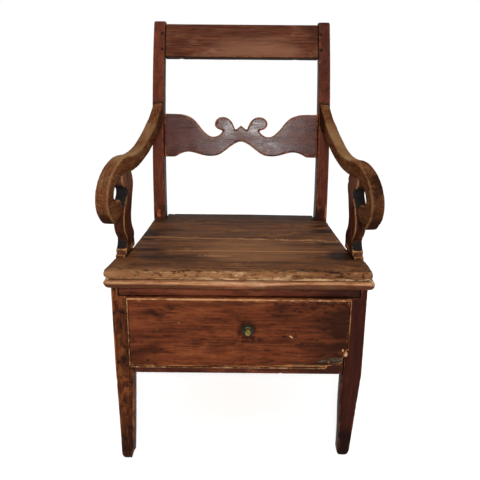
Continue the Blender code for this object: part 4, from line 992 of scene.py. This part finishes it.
worn("front_moulding", "chair", MOULD_WOOD, voxel=0.0014, rounding=3, nicks=14, wear=0.4,
     grime_and_shade=0.25, reach=0.002, tone=moulding_tone, shape=moulding_shape)
worn("drawer_front", "drawer", DRAWER_WOOD, voxel=0.0014, rounding=2, keep=0.45, nicks=14,
     wear=0.5, grime_and_shade=0.5, reach=0.002, tone=drawer_tone, rub=drawer_rub, raw=drawer_raw,
     grey=drawer_grey, shape=drawer_shape)
for side in ("top", "left", "right", "bottom"):
    axis = "x" if side in ("top", "bottom") else "z"
    worn(f"drawer_{side}_bead", "drawer", BEAD_WOOD, voxel=0.0006, rounding=3, keep=0.35,
         grain=axis, wave=0.0002, wear=0.4, grime_and_shade=0.25, reach=0.0015, tone=bead_tone, rub=bead_rub)
for piece, axis in (("left_side", "y"), ("right_side", "y"), ("back", "x"), ("bottom", "x")):
    worn(f"drawer_{piece}", "drawer", INNER_WOOD, voxel=0.003, rounding=2, keep=0.2,
         grain=axis, nicks=3)
worn("drawer_knob", "drawer", BRASS, voxel=0.0006, rounding=3, keep=0.8, wave=0.00008,
     shape=knob_shape)
worn("knob_rose", "drawer", ROSE_METAL, voxel=0.0005, rounding=1, keep=0.8, wave=0.0001)

# The CAD nodes that stay as they are, by the end of their names
KEPT_NODES = {"drawer_runner": INNER_CAD, "drawer_guide": INNER_CAD, "kicker": INNER_CAD, "crest_peg": PEG_WOOD,
              "screw": IRON, "knob_nut": BRASS}
for node, solid in NODES.items():
    for ending, material in KEPT_NODES.items():
        if node.endswith(ending):
            solid.data.materials.clear()
            solid.data.materials.append(material)


def make_splinter():
    """A bare lump of wood at the broken corner of the drawer front."""
    radii = (0.0042, 0.0035, 0.0062)
    bm = bmesh.new()
    bmesh.ops.create_icosphere(bm, subdivisions=4, radius=1.0)
    co = np.array([v.co for v in bm.verts])
    lump = co * (1 + 0.16 * fractal(co, 1.6, 41))[:, None] * np.array(radii)
    for v, p in zip(bm.verts, lump + np.array(SPLINTER_PLACE)):
        v.co = p
    mesh = bpy.data.meshes.new("drawer_splinter")
    bm.to_mesh(mesh)
    bm.free()
    points, _ = arrays(mesh)
    dirt_and_shade = 0.12 + 0.2 * step_up(np.abs(points[:, 0] - SPLINTER_PLACE[0]), 0.0022, 0.0042)
    for name, values in zip(FIELDS, (0.3, dirt_and_shade, 0.0, 0.0, 0.0)):
        store(mesh, name, np.broadcast_to(values, len(points)))
    store(mesh, "grain", points[:, GRAIN_AXES["x"]], "FLOAT_VECTOR")
    mesh.materials.append(RAW_WOOD)
    mesh.shade_smooth()
    piece = bpy.data.objects.new("drawer_splinter", mesh)
    bpy.context.scene.collection.objects.link(piece)
    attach(piece, "drawer")


make_splinter()


# Floor, light and camera

def seen_directly(tree):
    """1 for rays from the camera, mirrored rays and rays that pass through, 0 for those that gather light."""
    path = add(tree, "LightPath")
    seen = calc(tree, "MAXIMUM", path.outputs["Is Camera Ray"], path.outputs["Is Glossy Ray"])
    return calc(tree, "MAXIMUM", seen, path.outputs["Is Transmission Ray"])


def make_floor():
    """A pale floor that looks as white as the background."""
    mesh = bpy.data.meshes.new("floor")
    reach = 12.0
    corners = [(-reach, -reach, 0.0), (reach, -reach, 0.0), (reach, reach, 0.0), (-reach, reach, 0.0)]
    mesh.from_pydata(corners, [], [(0, 1, 2, 3)])
    floor = bpy.data.objects.new("floor", mesh)
    bpy.context.scene.collection.objects.link(floor)
    material = bpy.data.materials.new("pale_floor")
    material.use_nodes = True
    tree = material.node_tree
    shader = tree.nodes["Principled BSDF"]
    shader.inputs["Base Color"].default_value = (0.9, 0.9, 0.9, 1.0)
    shader.inputs["Roughness"].default_value = 0.9
    shader.inputs["Specular IOR Level"].default_value = 0.0
    shader.inputs["Emission Color"].default_value = (1.0, 1.0, 1.0, 1.0)
    tree.links.new(calc(tree, "MULTIPLY", seen_directly(tree), 0.6), shader.inputs["Emission Strength"])
    mesh.materials.append(material)


def make_world():
    """White to look at, and a dimmer source of light."""
    world = bpy.data.worlds.new("studio")
    world.use_nodes = True
    tree = world.node_tree
    background = tree.nodes["Background"]
    background.inputs["Color"].default_value = (1.0, 1.0, 1.0, 1.0)
    tree.links.new(band(tree, seen_directly(tree), 0.0, 1.0, 0.45, 1.0), background.inputs["Strength"])
    bpy.context.scene.world = world


def make_light(name, place, target, size, power):
    light = bpy.data.lights.new(name, "AREA")
    light.shape = "RECTANGLE"
    light.size, light.size_y = size
    light.energy = power
    obj = bpy.data.objects.new(name, light)
    bpy.context.scene.collection.objects.link(obj)
    obj.location = place
    obj.rotation_euler = (Vector(target) - Vector(place)).to_track_quat("-Z", "Y").to_euler()


def make_camera():
    """The photo's camera, as fitted to it."""
    place = (0.0037, -1.31325, 0.8127)
    focal_pixels, photo_pixels = 577.3, 480
    yaw, pitch, roll = -0.0027, 0.2903, 0.0083
    forward = Vector((math.sin(yaw) * math.cos(pitch), math.cos(yaw) * math.cos(pitch), -math.sin(pitch)))
    level = Vector((math.cos(yaw), -math.sin(yaw), 0.0))
    upright = level.cross(forward)
    right = math.cos(roll) * level + math.sin(roll) * upright
    up = -math.sin(roll) * level + math.cos(roll) * upright
    data = bpy.data.cameras.new("camera")
    data.sensor_width = 36.0
    data.lens = data.sensor_width * focal_pixels / photo_pixels
    data.clip_start = 0.01
    camera = bpy.data.objects.new("camera", data)
    bpy.context.scene.collection.objects.link(camera)
    turn = Matrix((right, up, -forward)).transposed().to_4x4()
    camera.matrix_world = Matrix.Translation(place) @ turn
    bpy.context.scene.camera = camera


make_floor()
make_world()
make_light("front_soft_box", (0.055, -1.80, 1.05), (0.0, 0.05, 0.50), (0.34, 0.22), 16.5)
make_light("top_soft_box", (0.1, -0.9, 2.4), (0.0, 0.0, 0.4), (1.0, 0.9), 15.0)
make_camera()
bpy.context.scene.view_settings.view_transform = "Standard"
